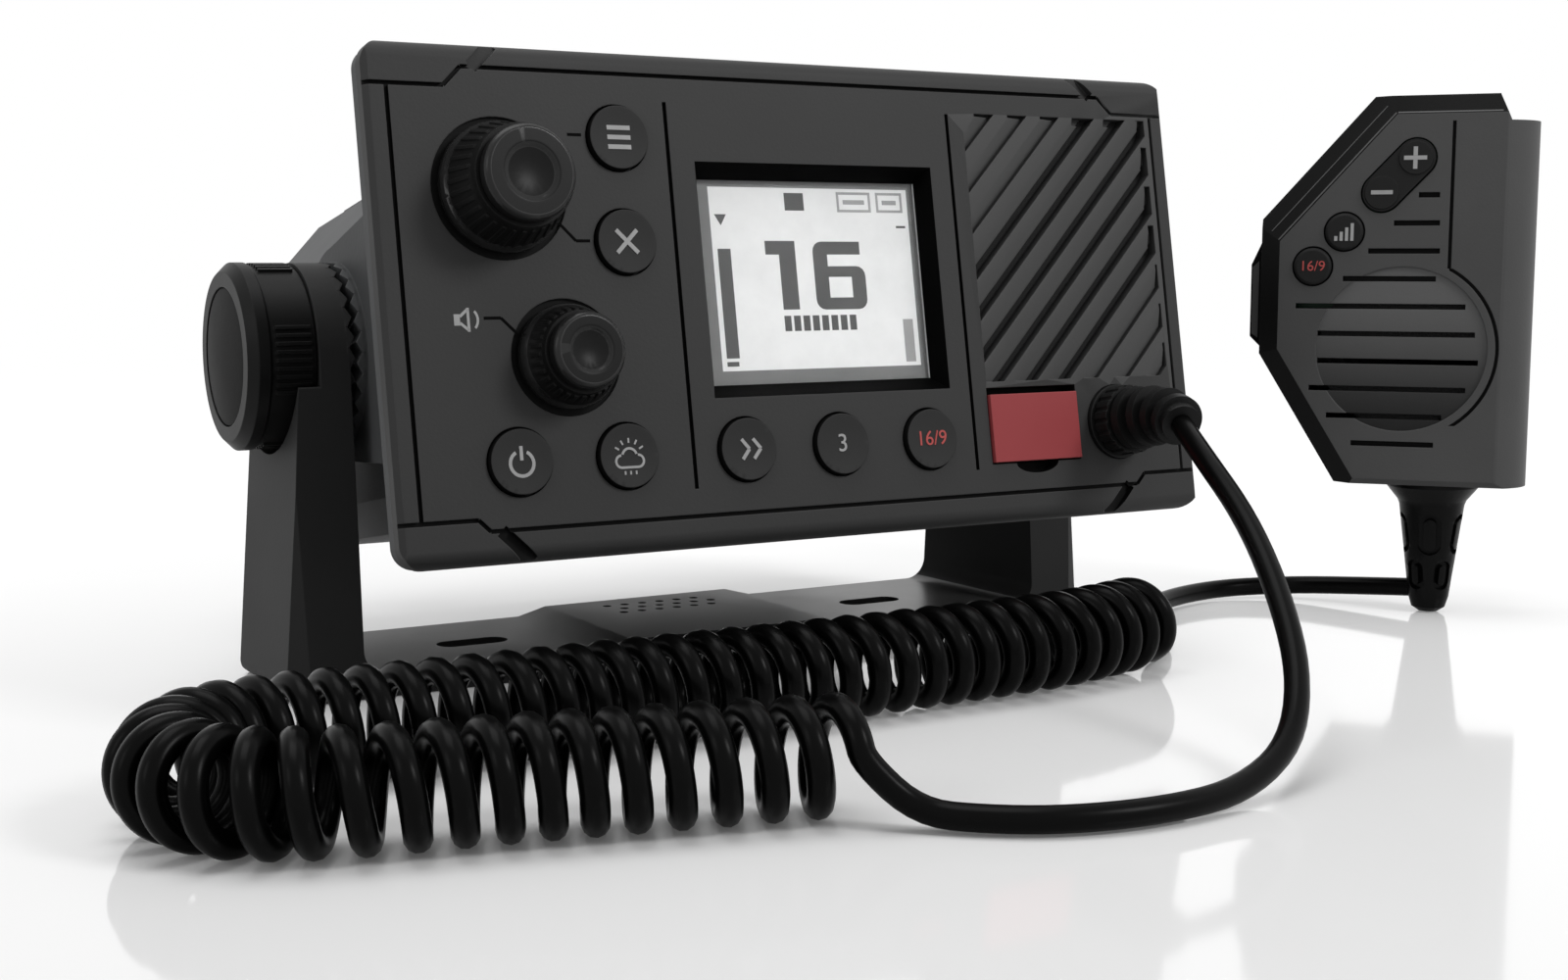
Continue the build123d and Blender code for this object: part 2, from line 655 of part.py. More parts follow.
def make_knob(at, radius, height):
    """The knob's body with fine grip ribs round its waist."""
    body = knob_core(radius, height)
    seat = height - KNOB_CAP_H
    ribs = []
    for index in range(KNOB_RIBS):
        turned = Rot(0, 0, 360 / KNOB_RIBS * index)
        place = turned * Pos(0.86 * radius, 0, 0.55 * seat) * Rot(0, -16, 0)
        ribs.append(place * Box(0.5, 0.7, 0.5 * seat))
    return Pos(*at, 0) * (body + ribs)


def make_knob_cap(at, radius, height):
    """The glossy ring with a dished centre that closes a knob."""
    seat = height - KNOB_CAP_H
    outer = 0.72 * radius
    outline = Polygon(
        (0, seat),
        (outer, seat),
        (outer, height - 0.9),
        (outer - 0.3, height - 0.3),
        (outer - 0.9, height),
        (0.6 * outer, height),
        (0.5 * outer, height - 0.5),
        (0.25 * outer, height - 0.95),
        (0, height - 1.05),
        align=None,
    )
    return Pos(*at, 0) * revolve(Plane.XZ * outline, Axis.Z)


ENCODER_FRONT = -FACE_WALL - 0.1
BOARD_FRONT = -LCD_RECESS_D - LCD_LENS_T - LCD_MODULE_T - 0.1
SHAFT_END = ENCODER_FRONT - 3.6
PLUNGER_T = 1.0


def make_shaft(at, height):
    """The encoder's shaft, which carries the knob and is pushed with it."""
    return rod(at, SHAFT_R, SHAFT_END, height - KNOB_CAP_H)


def make_plunger(at):
    """The push switch's plunger under the shaft's inner end."""
    return rod(at, SHAFT_R + 0.6, SHAFT_END - PLUNGER_T, SHAFT_END)


def make_encoder(at):
    """The rotary encoder: square body, front bushing, and the shaft's bore."""
    half = ENCODER_SIDE / 2
    sides = (at[0] - half, at[0] + half, at[1] - half, at[1] + half)
    body = slab(*sides, BOARD_FRONT, ENCODER_FRONT)
    body += rod(at, BUSHING_R, ENCODER_FRONT, -KNOB_RING_D - 0.1)
    body -= rod(at, SHAFT_R + SHAFT_CLEAR, SHAFT_END, 0)
    return body - rod(at, SHAFT_R + 0.9, SHAFT_END - PLUNGER_T - PUSH_TRAVEL - 0.2, SHAFT_END)


# ---- Inside the radio --------------------------------------------------------------------
def make_lcd_window():
    """The clear lens in its rebate."""
    size = (LCD_GLASS_W + 2 * LCD_LAP - 0.2, LCD_GLASS_H + 2 * LCD_LAP - 0.2)
    return rounded_slab(*size, 0.6, -LCD_RECESS_D - LCD_LENS_T, -LCD_RECESS_D, LCD_AT)


def make_lcd_module():
    """The display module behind the lens."""
    front = -LCD_RECESS_D - LCD_LENS_T
    size = (LCD_GLASS_W + 2 * LCD_FRAME, LCD_GLASS_H + 2 * LCD_FRAME)
    return rounded_slab(*size, 0.8, front - LCD_MODULE_T, front, LCD_AT)


BOARD_W = HOUSING_W - 2 * HOUSING_WALL - 0.6


def shoulder_room(front_size, back_size, level):
    """The clear width or height inside the housing's sloped shoulder at a level."""
    flange_back = -BEZEL_DEPTH - GASKET_T - FLANGE_T
    share = (flange_back - level) / SHOULDER_T
    outer = (front_size - 2 * FLANGE_INSET) * (1 - share) + back_size * share
    return outer - 2 * (HOUSING_WALL + FLANGE_WALL_STEP)


def side_notch(at, radius):
    """A round opening in the front board that runs out through the board's right edge."""
    back = BOARD_FRONT - BOARD_T
    way_out = slab(at[0], FACE_W, at[1] - radius, at[1] + radius, back, BOARD_FRONT)
    return rod(at, radius, back, BOARD_FRONT) + way_out


def make_front_board():
    """The front circuit board, which the display, keys and encoders sit on."""
    back = BOARD_FRONT - BOARD_T
    width = shoulder_room(FACE_W, SHOULDER_W, back) - 2 * FRONT_BOARD_CLEAR
    height = shoulder_room(FACE_H, SHOULDER_H, back) - 2 * FRONT_BOARD_CLEAR
    left, low = (FACE_W - width) / 2, (FACE_H - height) / 2
    board = slab(left, FACE_W - left, low, FACE_H - low, back, BOARD_FRONT)
    return board - side_notch(SPEAKER_AT, SPEAKER_R + 0.6) - side_notch(SOCKET_AT, SOCKET_R + 0.6)


MAT_MARGIN = 1.2
MAT_GAP = 0.2


def make_keypad_mat():
    """The rubber mat: a thin web with a pillar under each key."""
    web = BOARD_FRONT + 1.4
    tops = -FACE_WALL - KEY_GAP - KEY_FLANGE_T - KEY_TRAVEL - 0.1
    half = KEY_R + MAT_MARGIN
    left, right = KEY_PLACES["key_power"][0] - 2 * half, POCKET_RIGHT - MAT_GAP
    mat = slab(left + half, right, KEY_ROW - half, KEY_ROW + half, BOARD_FRONT, web)
    column, top = KEY_PLACES["key_menu"]
    mat += slab(column - half, column + half, KEY_ROW, top + half, BOARD_FRONT, web)
    mat += [rod(at, KEY_R - 0.8, web, tops) for at in KEY_PLACES.values()]
    volume_half = ENCODER_SIDE / 2 + 0.5
    left, right = VOLUME_AT[0] - volume_half, VOLUME_AT[0] + volume_half
    low, high = VOLUME_AT[1] - volume_half, VOLUME_AT[1] + volume_half
    return mat - slab(left, right, low, high, BOARD_FRONT, 0)


def make_loudspeaker():
    """The loudspeaker: frame ring, cone and magnet."""
    front = -FACE_WALL - 0.3
    outline = Polygon(
        (0, front - 3.2),
        (6.0, front - 3.2),
        (SPEAKER_R - 1.5, front - 0.8),
        (SPEAKER_R - 1.5, front),
        (SPEAKER_R, front),
        (SPEAKER_R, front - 2.4),
        (SPEAKER_MAGNET_R, front - 9.0),
        (SPEAKER_MAGNET_R, front - 15.0),
        (0, front - 15.0),
        align=None,
    )
    return Pos(*SPEAKER_AT, 0) * revolve(Plane.XZ * outline, Axis.Z)


MAIN_BOARD_UP = 24.0
MAIN_BOARD_START = 30.0
GPS_SIDE = 25.0
GPS_T = 4.0
GPS_START = 35.0
# Blocks on the main board: from the middle line, width, height, from the board's near end
# (front cans) or far end (rear cans), and depth.
FRONT_CANS = ((-52.5, 34.0, 6.0, 10.0, 30.0), (17.5, 28.0, 5.0, 12.0, 24.0), (-14.5, 24.0, 8.4, 2.0, 6.0))
REAR_CANS = ((-22.5, 46.0, 9.0, 1.7, 18.0), (-10.5, 16.0, 12.0, 27.7, 14.0))


def make_main_board():
    """The main board along the housing, with the amplifier block and screening cans."""
    left, right = (FACE_W - BOARD_W) / 2, (FACE_W + BOARD_W) / 2
    back = -HOUSING_DEPTH + HOUSING_WALL + 4
    top = MAIN_BOARD_UP + BOARD_T
    board = slab(left, right, MAIN_BOARD_UP, top, back, -MAIN_BOARD_START)
    parts = [board]
    for across, width, height, near, depth in FRONT_CANS:
        sides = (FACE_W / 2 + across, FACE_W / 2 + across + width, top, top + height)
        parts.append(slab(*sides, -MAIN_BOARD_START - near - depth, -MAIN_BOARD_START - near))
    for across, width, height, near, depth in REAR_CANS:
        sides = (FACE_W / 2 + across, FACE_W / 2 + across + width, top, top + height)
        parts.append(slab(*sides, back + near, back + near + depth))
    return parts[0] + parts[1:]


def make_gps_antenna():
    """The satellite receiver's ceramic patch, under the housing's top wall."""
    top = HOUSING_TOP - HOUSING_WALL
    left = FACE_W / 2 - GPS_SIDE / 2
    return slab(left, left + GPS_SIDE, top - GPS_T, top, -GPS_START - GPS_SIDE, -GPS_START)


# ---- Rear housing ------------------------------------------------------------------------
def housing_section(inset):
    """The rear housing's section across the radio, drawn in by a wall."""
    left, right = (FACE_W - HOUSING_W) / 2, (FACE_W + HOUSING_W) / 2
    low, cut = HOUSING_LOW, HOUSING_LOW_CHAMFER
    side, top, slope = HOUSING_SIDE_TOP, HOUSING_TOP, HOUSING_TOP_SLOPE
    points = (
        (left + cut, low),
        (right - cut, low),
        (right, low + cut),
        (right, side),
        (right - slope, top),
        (left + slope, top),
        (left, side),
        (left, low + cut),
    )
    outline = Polygon(*points, align=None)
    if inset:
        outline = offset(outline, -inset, kind=Kind.INTERSECTION)
    return outline


def housing_block(inset, back, front):
    """The housing's section run along the radio."""
    return extrude(Pos(0, 0, back) * housing_section(inset), front - back)


def shoulder_block(inset, front, back):
    """The sloped shoulder from the front flange down to the rear housing."""
    centre = (FACE_W / 2, FACE_H / 2)
    wide, tall = FACE_W - 2 * FLANGE_INSET - 2 * inset, FACE_H - 2 * FLANGE_INSET - 2 * inset
    radius = FACE_CORNER_R - FLANGE_INSET
    start = Pos(*centre, front) * RectangleRounded(wide, tall, radius)
    end_w, end_h = SHOULDER_W - 2 * inset, SHOULDER_H - 2 * inset
    end = Pos(*centre, back) * RectangleRounded(end_w, end_h, radius)
    return loft([start, end])


def side_cheek():
    """The side view of the flat cheek that carries the hinge boss."""
    points = (
        (-CHEEK_FRONT, -CHEEK_FRONT_UP),
        (0, -CHEEK_UP),
        (0, CHEEK_UP),
        (-CHEEK_FRONT, CHEEK_FRONT_UP),
    )
    return Polygon(*points, align=None) + Circle(CHEEK_UP)


def face_teeth(outward):
    """A ring of tapered locking teeth that point along the hinge line."""
    teeth = []
    for index in range(TOOTH_COUNT):
        ends = []
        for radius in (TOOTH_INNER_R, HUB_R):
            half = 0.97 * math.pi * radius / TOOTH_COUNT
            peak = TOOTH_H * radius / HUB_R
            section = Polygon(
                (-half, -0.4), (half, -0.4), (half, 0), (0, peak), (-half, 0), align=None
            )
            plane = Plane(origin=(radius, 0, 0), x_dir=(0, 1, 0), z_dir=(1, 0, 0))
            ends.append(plane * section)
        tooth = loft(ends, ruled=True)
        teeth.append(Rot(0, 0, 360 / TOOTH_COUNT * index) * tooth)
    flip = Rot(0, 0, 0) if outward else Rot(0, 180, 0)
    return [flip * tooth for tooth in teeth]


BOSS_FACE = BRACKET_INNER - 2 * TOOTH_H - TOOTH_GAP


def side_boss():
    """The right-hand hinge boss with its teeth, from the housing wall outwards."""
    start = HOUSING_W / 2 - 8
    cheek = on_side(start + 4, extrude(side_cheek(), 4 + CHEEK_T))
    boss = on_side(start, Cylinder(HUB_R, BOSS_FACE - start, align=WITH_BASE))
    teeth = [on_side(BOSS_FACE, tooth) for tooth in face_teeth(True)]
    return cheek + boss + teeth


INSERT_START = BOSS_FACE - INSERT_L


def insert_bore():
    """The blind bore that takes the right-hand threaded insert, open to the outside."""
    return on_side(INSERT_START, Cylinder(INSERT_R, 2 * INSERT_L, align=WITH_BASE))


ANTENNA_OUT = 37.5
GLAND_OUT = 35.5
ANTENNA_AT = (FACE_W / 2 + ANTENNA_OUT, 50.0)
GLAND_AT = (FACE_W / 2 - GLAND_OUT, 40.0)
GLAND_R = 7.5
ANTENNA_FLANGE = 12.7
ANTENNA_R = 7.9
SCREW_INSET = 8.5


def make_rear_housing():
    """The die-cast rear housing: flange, shoulder, finned body and hinge bosses."""
    flange_front = -BEZEL_DEPTH - GASKET_T
    flange_back = flange_front - FLANGE_T
    shoulder_back = flange_back - SHOULDER_T
    wide, tall = FACE_W - 2 * FLANGE_INSET, FACE_H - 2 * FLANGE_INSET
    radius = FACE_CORNER_R - FLANGE_INSET
    flange = rounded_slab(wide, tall, radius, flange_back, flange_front)
    inner = (wide - 2 * FLANGE_WALL, tall - 2 * FLANGE_WALL)
    flange -= rounded_slab(*inner, radius, flange_back, flange_front)
    shoulder = shoulder_block(0, flange_back, shoulder_back)
    collar = rounded_slab(SHOULDER_W, SHOULDER_H, radius, shoulder_back - 3, shoulder_back)
    body = housing_block(0, -HOUSING_DEPTH, shoulder_back - 1)
    fins = []
    for index in range(FIN_COUNT):
        middle = FACE_W / 2 + (index - (FIN_COUNT - 1) / 2) * FIN_PITCH
        sides = (middle - FIN_T / 2, middle + FIN_T / 2, HOUSING_TOP - 1, HOUSING_TOP + FIN_H)
        fins.append(slab(*sides, -HOUSING_DEPTH, -FIN_START))
    right = side_boss()
    mirror_plane = Plane(origin=(FACE_W / 2, 0, 0), z_dir=(1, 0, 0))
    body = flange + shoulder + collar + body + fins + right + mirror(right, mirror_plane)
    body -= housing_block(HOUSING_WALL, -HOUSING_DEPTH + HOUSING_WALL, shoulder_back + 1)
    body -= shoulder_block(HOUSING_WALL + FLANGE_WALL_STEP, flange_back, shoulder_back)
    bore = insert_bore()
    cuts = [bore, mirror(bore, mirror_plane)]
    for at, hole in ((ANTENNA_AT, ANTENNA_R), (GLAND_AT, GLAND_R)):
        cuts.append(rod(at, hole + SOCKET_CLEAR, -HOUSING_DEPTH - 1, -HOUSING_DEPTH + 4))
    pads = inner_bosses()
    return body + pads - cuts


def inner_bosses():
    """The thickenings inside the side walls that back the threaded inserts."""
    start = HOUSING_W / 2 - 8
    right = on_side(start, Cylinder(INSERT_R + 3, 7, align=WITH_BASE))
    right -= on_side(start, Cylinder(INSERT_R, 8, align=WITH_BASE))
    mirror_plane = Plane(origin=(FACE_W / 2, 0, 0), z_dir=(1, 0, 0))
    return [right, mirror(right, mirror_plane)]


def make_housing_gasket():
    """The thin seal in the joint between the front moulding and the housing."""
    wide, tall = FACE_W - 2 * GASKET_INSET, FACE_H - 2 * GASKET_INSET
    radius = FACE_CORNER_R - GASKET_INSET
    ring = rounded_slab(wide, tall, radius, -BEZEL_DEPTH - GASKET_T, -BEZEL_DEPTH)
    wide, tall = FACE_W - 2 * FLANGE_WALL, FACE_H - 2 * FLANGE_WALL
    return ring - rounded_slab(wide, tall, radius, -BEZEL_DEPTH - GASKET_T, -BEZEL_DEPTH)


def make_pivot_inserts():
    """The two brass threaded inserts that the clamp studs screw into."""
    ring = Cylinder(INSERT_R, INSERT_L - 0.5, align=WITH_BASE)
    ring -= Cylinder(STUD_R + STUD_CLEAR, INSERT_L, align=WITH_BASE)
    right = on_side(INSERT_START, ring)
    mirror_plane = Plane(origin=(FACE_W / 2, 0, 0), z_dir=(1, 0, 0))
    return Compound(children=[right, mirror(right, mirror_plane)])


def make_antenna_socket():
    """The antenna socket on the rear wall: flange, threaded barrel and centre bore."""
    back = -HOUSING_DEPTH
    half = ANTENNA_FLANGE
    outline = Polygon((0, -half), (half, 0), (0, half), (-half, 0), align=None)
    outline = fillet(outline.vertices(), 3)
    flange = extrude(Pos(*ANTENNA_AT, back - 1.6) * outline, 1.6)
    barrel = rod(ANTENNA_AT, ANTENNA_R, back - 14.0, back + 4)
    bore = rod(ANTENNA_AT, 5.6, back - 14.0, back - 3.0)
    return flange + barrel - bore + rod(ANTENNA_AT, 1.9, back - 11.0, back - 2.0)


def make_power_gland():
    """The rubber gland for the power lead, with a rib and a tapered nose."""
    back = -HOUSING_DEPTH
    outline = Polygon(
        (3.4, 4),
        (3.4, -15),
        (4.6, -15),
        (6.0, -4),
        (9.0, -3),
        (9.0, 0),
        (GLAND_R, 0),
        (GLAND_R, 4),
        align=None,
    )
    return Pos(*GLAND_AT, back) * revolve(Plane.XZ * outline, Axis.Z)


def make_housing_screws():
    """Four flanged screws in the rear wall's corners."""
    left, right = (FACE_W - HOUSING_W) / 2, (FACE_W + HOUSING_W) / 2
    places = (
        (left + 1.6 * SCREW_INSET, HOUSING_LOW + SCREW_INSET),
        (right - 1.6 * SCREW_INSET, HOUSING_LOW + SCREW_INSET),
        (left + 2.6 * SCREW_INSET, HOUSING_TOP - SCREW_INSET),
        (right - 2.6 * SCREW_INSET, HOUSING_TOP - SCREW_INSET),
    )
    back = -HOUSING_DEPTH
    screws = []
    for at in places:
        head = rod(at, 3.4, back - 2.2, back)
        socket = Pos(*at, back - 2.2) * RegularPolygon(1.7, 6)
        screws.append(head - extrude(socket, 1.3))
    return Compound(children=screws)


# ---- Microphone socket and plug ----------------------------------------------------------
def make_mic_socket():
    """The panel socket: barrel behind the face with a proud round rim."""
    body = rod(SOCKET_AT, SOCKET_R, -SOCKET_DEPTH, SOCKET_PROUD)
    return body - rod(SOCKET_AT, PLUG_R + PLUG_FIT, -SOCKET_DEPTH + 1.5, SOCKET_PROUD)


NUT_START = SOCKET_PROUD + 0.3
BOOT_START = NUT_START + NUT_T + 0.3


def make_plug_body():
    """The plug's core, seated in the socket and reaching out through the nut."""
    return rod(SOCKET_AT, PLUG_R, -SOCKET_DEPTH + 2.0, BOOT_START)


def make_plug_nut():
    """The coupling nut that turns round the plug, with grip flutes."""
    ring = rod(SOCKET_AT, NUT_R, NUT_START, NUT_START + NUT_T)
    flutes = []
    for index in range(NUT_FLUTES):
        turned = Pos(*SOCKET_AT, NUT_START) * Rot(0, 0, 360 / NUT_FLUTES * index)
        flutes.append(turned * Pos(NUT_R + 0.2, 0, 0) * Cylinder(0.55, NUT_T, align=WITH_BASE))
    return ring - flutes - rod(SOCKET_AT, PLUG_R + NUT_BORE_CLEAR, NUT_START, NUT_START + NUT_T)


def boot_line():
    """The plug boot's centre line: straight out of the nut, then bent down and aside."""
    start = (0, 0, BOOT_START)
    knee = (0, 0, BOOT_START + BOOT_STRAIGHT)
    bend = math.radians(BOOT_BEND)
    out = BOOT_BEND_R * (1 - math.cos(bend))
    rise = BOOT_BEND_R * math.sin(bend)
    droop = math.radians(BOOT_DROOP)
    side = (-math.cos(droop), -math.sin(droop))
    end = (out * side[0], out * side[1], knee[2] + rise)
    middle_bend = bend / 2
    half_out = BOOT_BEND_R * (1 - math.cos(middle_bend))
    half_rise = BOOT_BEND_R * math.sin(middle_bend)
    middle = (half_out * side[0], half_out * side[1], knee[2] + half_rise)
    return Pos(*SOCKET_AT, 0) * Wire([Line(start, knee), ThreePointArc(knee, middle, end)])


def make_plug_boot():
    """The ribbed rubber boot on the plug."""
    line = boot_line()
    core = sweep(Plane(line @ 0, z_dir=line % 0) * Circle(BOOT_CORE_R), line)
    shares = (0.08, 0.33, 0.58, 0.83)
    ribs = []
    for share, radius in zip(shares, BOOT_RIBS):
        plane = Plane(line @ share, z_dir=line % share)
        ribs.append(plane * Cylinder(radius, BOOT_RIB_T))
    return core + ribs


# ---- Gimbal bracket ----------------------------------------------------------------------
def bracket_front_view():
    """The bracket's U outline seen from the front."""
    top = PIVOT_Z + HUB_R + 1
    foot = LEG_FOOT
    shoulder = LEG_FOOT - LEG_SPLAY * top
    points = ((-foot, 0), (foot, 0), (shoulder, top), (-shoulder, top))
    outline = Polygon(*points, align=None)
    outline = fillet(outline.vertices().group_by(Axis.Y)[0], LEG_OUTER_FILLET)
    hollow_h = top - BASE_T + 10
    hollow = Pos(0, BASE_T + hollow_h / 2) * Rectangle(2 * BRACKET_INNER, hollow_h)
    hollow = fillet(hollow.vertices().group_by(Axis.Y)[0], LEG_INNER_FILLET)
    return outline - hollow


def bracket_side_view():
    """The bracket's side view: a tapered leg that runs up into a round hub."""
    reach = math.hypot(BASE_HALF_D, PIVOT_Z - BASE_T)
    lean = math.atan2(BASE_HALF_D, PIVOT_Z - BASE_T) - math.asin(HUB_R / reach)
    touch_y = HUB_R * math.cos(lean)
    touch_z = PIVOT_Z + HUB_R * math.sin(lean)
    points = (
        (-BASE_HALF_D, 0),
        (BASE_HALF_D, 0),
        (BASE_HALF_D, BASE_T),
        (touch_y, touch_z),
        (-touch_y, touch_z),
        (-BASE_HALF_D, BASE_T),
    )
    return Polygon(*points, align=None) + Pos(0, PIVOT_Z) * Circle(HUB_R)


def leg_facets():
    """Cutters for the right leg: the slanted rear face and the small front chamfer."""
    top = PIVOT_Z + HUB_R
    rear_edge = LEG_FOOT + 1
    rear = Polygon(
        (rear_edge, BASE_HALF_D - LEG_REAR_SLANT),
        (rear_edge, BASE_HALF_D + 1),
        (rear_edge - 1 - LEG_REAR_SLANT_IN, BASE_HALF_D + 1),
        (rear_edge - 1 - LEG_REAR_SLANT_IN, BASE_HALF_D),
        (rear_edge - 1, BASE_HALF_D - LEG_REAR_SLANT),
        align=None,
    )
    front = Polygon(
        (rear_edge, -BASE_HALF_D - 1),
        (rear_edge, -BASE_HALF_D + LEG_FRONT_CHAMFER + 1),
        (rear_edge - 2 - 2 * LEG_FRONT_CHAMFER, -BASE_HALF_D - 1),
        align=None,
    )
    lean = math.degrees(math.atan(LEG_SPLAY))
    rear_cut = Pos(0, 0, -5) * extrude(rear, top + 20)
    front_cut = Pos(0, 0, -5) * extrude(front, top + 20)
    pivot = Pos(LEG_FOOT, 0, 0) * Rot(0, -lean, 0) * Pos(-LEG_FOOT, 0, 0)
    return [pivot * rear_cut, pivot * front_cut]


def knob_scoop():
    """The round recess in the right leg's outer side that the clamp knob sits in."""
    along_x = Plane(origin=(BRACKET_INNER + HUB_T, 0, PIVOT_Z), z_dir=(1, 0, 0))
    return along_x * Cylinder(CLAMP_R + SCOOP_CLEAR, 40, align=WITH_BASE)


def dimples():
    """The small round dimples in the raised pad."""
    points = []
    for row in range(DIMPLE_ROWS):
        for column in range(DIMPLE_COLUMNS):
            shift = DIMPLE_STEP / 2 if row % 2 else 0
            across = (column - (DIMPLE_COLUMNS - 1) / 2) * DIMPLE_STEP + shift
            along = (row - (DIMPLE_ROWS - 1) / 2) * DIMPLE_STEP + 10
            points.append((across, along))
    top = BASE_T + PAD_RISE
    cutter = Cylinder(DIMPLE_R, 0.8, align=(Align.CENTER, Align.CENTER, Align.MAX))
    return [Pos(x, y, top) * cutter for x, y in points]


def make_gimbal_bracket():
    """The one-piece gimbal bracket with slots, raised pad, hubs and locking teeth."""
    depth = 2 * (BASE_HALF_D + 5)
    body = Pos(0, depth / 2, 0) * extrude(Plane.XZ * bracket_front_view(), depth)
    body &= Pos(-LEG_FOOT - 5, 0, 0) * extrude(Plane.YZ * bracket_side_view(), 2 * LEG_FOOT + 10)
    along_x = Plane(origin=(BRACKET_INNER, 0, PIVOT_Z), z_dir=(1, 0, 0))
    right = leg_facets() + [knob_scoop()]
    body = body - right - [mirror(cut, Plane.YZ) for cut in right]
    teeth = [along_x * tooth for tooth in face_teeth(False)]
    body = body + teeth + [mirror(tooth, Plane.YZ) for tooth in teeth]
    pad_low, pad_high = PAD_HALF_W, PAD_HALF_W - PAD_RAMP
    pad = Polygon(
        (-pad_low, BASE_T - 1),
        (pad_low, BASE_T - 1),
        (pad_low, BASE_T),
        (pad_high, BASE_T + PAD_RISE),
        (-pad_high, BASE_T + PAD_RISE),
        (-pad_low, BASE_T),
        align=None,
    )
    body += Pos(0, BASE_HALF_D, 0) * extrude(Plane.XZ * pad, 2 * BASE_HALF_D)
    slot = extrude(SlotOverall(SLOT_LENGTH, 2 * SLOT_R), BASE_T)
    slots = [Pos(side * SLOT_SPACING / 2, 0, 0) * slot for side in (-1, 1)]
    through = Pos(0, 0, PIVOT_Z) * Rot(0, 90, 0) * Cylinder(STUD_R + STUD_CLEAR, 3 * LEG_FOOT)
    return body - slots - dimples() - through


CLAMP_START = BRACKET_INNER + HUB_T + KNOB_GAP


def along_hinge(shape):
    """Puts a shape drawn along +Z onto the hinge line, pointing to the right."""
    return Plane(origin=(0, 0, PIVOT_Z), z_dir=(1, 0, 0)) * shape


def make_clamp_knob():
    """The right clamp knob: barrel with grip ribs, and a rimmed outer cup."""
    end = CLAMP_START + CLAMP_BARREL_L + CLAMP_CAP_L
    rim = CLAMP_R
    outline = Polygon(
        (STUD_R, CLAMP_START),
        (rim - 0.6, CLAMP_START),
        (rim - 0.6, CLAMP_START + CLAMP_BARREL_L),
        (rim, CLAMP_START + CLAMP_BARREL_L + 0.4),
        (rim, end - CLAMP_CAP_EDGE),
        (rim - CLAMP_CAP_EDGE, end),
        (CLAMP_DISC_R, end),
        (CLAMP_DISC_R, end - 1.2),
        (STUD_R, end - 1.2),
        align=None,
    )
    body = revolve(Plane.XZ * outline, Axis.Z)
    ribs = []
    first = -(CLAMP_ZONE_RIBS - 1) / 2 * CLAMP_RIB_STEP
    for zone in range(CLAMP_ZONES):
        for rib in range(CLAMP_ZONE_RIBS):
            angle = 360 / CLAMP_ZONES * zone + first + rib * CLAMP_RIB_STEP
            middle = CLAMP_START + CLAMP_BARREL_L / 2
            place = Rot(0, 0, angle) * Pos(rim - 0.6, 0, middle)
            ribs.append(place * Box(2 * CLAMP_RIB_H, 0.7, CLAMP_BARREL_L - 1.6))
    return along_hinge(body + ribs)


def make_clamp_cap():
    """The domed disc let into the clamp knob's outer end."""
    seat = CLAMP_START + CLAMP_BARREL_L + CLAMP_CAP_L - 1.2
    radius = CLAMP_DISC_R - 0.1
    ball = (radius ** 2 + CLAMP_DISC_RISE ** 2) / (2 * CLAMP_DISC_RISE)
    disc = Pos(0, 0, seat) * Cylinder(radius, 4, align=WITH_BASE)
    dome = Pos(0, 0, seat + 1.0 + CLAMP_DISC_RISE - ball) * Sphere(ball)
    return along_hinge(disc & dome)


def make_clamp_stud():
    """The steel stud from the knob through the bracket's hub into the insert."""
    inner = INSERT_START + 0.8
    outer = CLAMP_START + CLAMP_BARREL_L + CLAMP_CAP_L - 1.2
    return along_hinge(Pos(0, 0, inner) * Cylinder(STUD_R, outer - inner, align=WITH_BASE))


# ---- Hand microphone ---------------------------------------------------------------------
def mic_corners():
    """The corners of the microphone's outline, from its foot round to the left side."""
    return (
        (MIC_FOOT_LEFT, MIC_BOTTOM),
        (MIC_RIGHT, MIC_BOTTOM),
        (MIC_RIGHT, MIC_STEP),
        (MIC_STEP_LEFT, MIC_STEP),
        (MIC_TOP_RIGHT, MIC_TOP),
        (MIC_TOP_LEFT, MIC_TOP),
        (MIC_LEFT, MIC_UPPER_KNEE),
        (MIC_LEFT, MIC_LOWER_KNEE),
    )


def mic_block(inset, back, front):
    """The microphone's outline, drawn in by a distance and run through a depth."""
    outline = Polygon(*mic_corners(), align=None)
    if inset:
        outline = offset(outline, -inset, kind=Kind.INTERSECTION)
    return extrude(Pos(0, 0, back) * outline, front - back)


def side_bevel(start, end, inset, bevel, level, facing):
    """A wedge along one side of the outline that bevels it at a front or back level."""
    reach, drop = bevel
    steep = drop / reach
    middle = (Vector(*start) + Vector(*end)) / 2
    along = (Vector(*end) - Vector(*start)).normalized()
    plane = Plane(origin=middle, x_dir=Vector(0, 0, 1).cross(along), z_dir=along)
    outer, inner, past = inset - 2, inset + reach + 2, level + 2 * steep * facing
    corners = ((outer, past - facing * (drop + 4 * steep)), (inner, past), (outer, past))
    return extrude(plane * Polygon(*corners, align=None), MIC_TOP, both=True)


def side_arc(inset, level):
    """The space outside the front shell's rounded right side."""
    right = MIC_RIGHT - inset
    start, end = Vector(right - MIC_SIDE_IN, level), Vector(right, level - MIC_SIDE_BACK)
    bulge = Vector(MIC_SIDE_BACK, MIC_SIDE_IN).normalized() * MIC_SIDE_BULGE
    corners = ((right + 3, end.Y), (right + 3, level + 2), (start.X, level + 2))
    edge = ThreePointArc(start, (start + end) / 2 + bulge, end)
    outside = make_face([edge, Polyline(end, *corners, start)])
    return extrude(Plane.XZ * outside, MIC_TOP + 2, both=True)


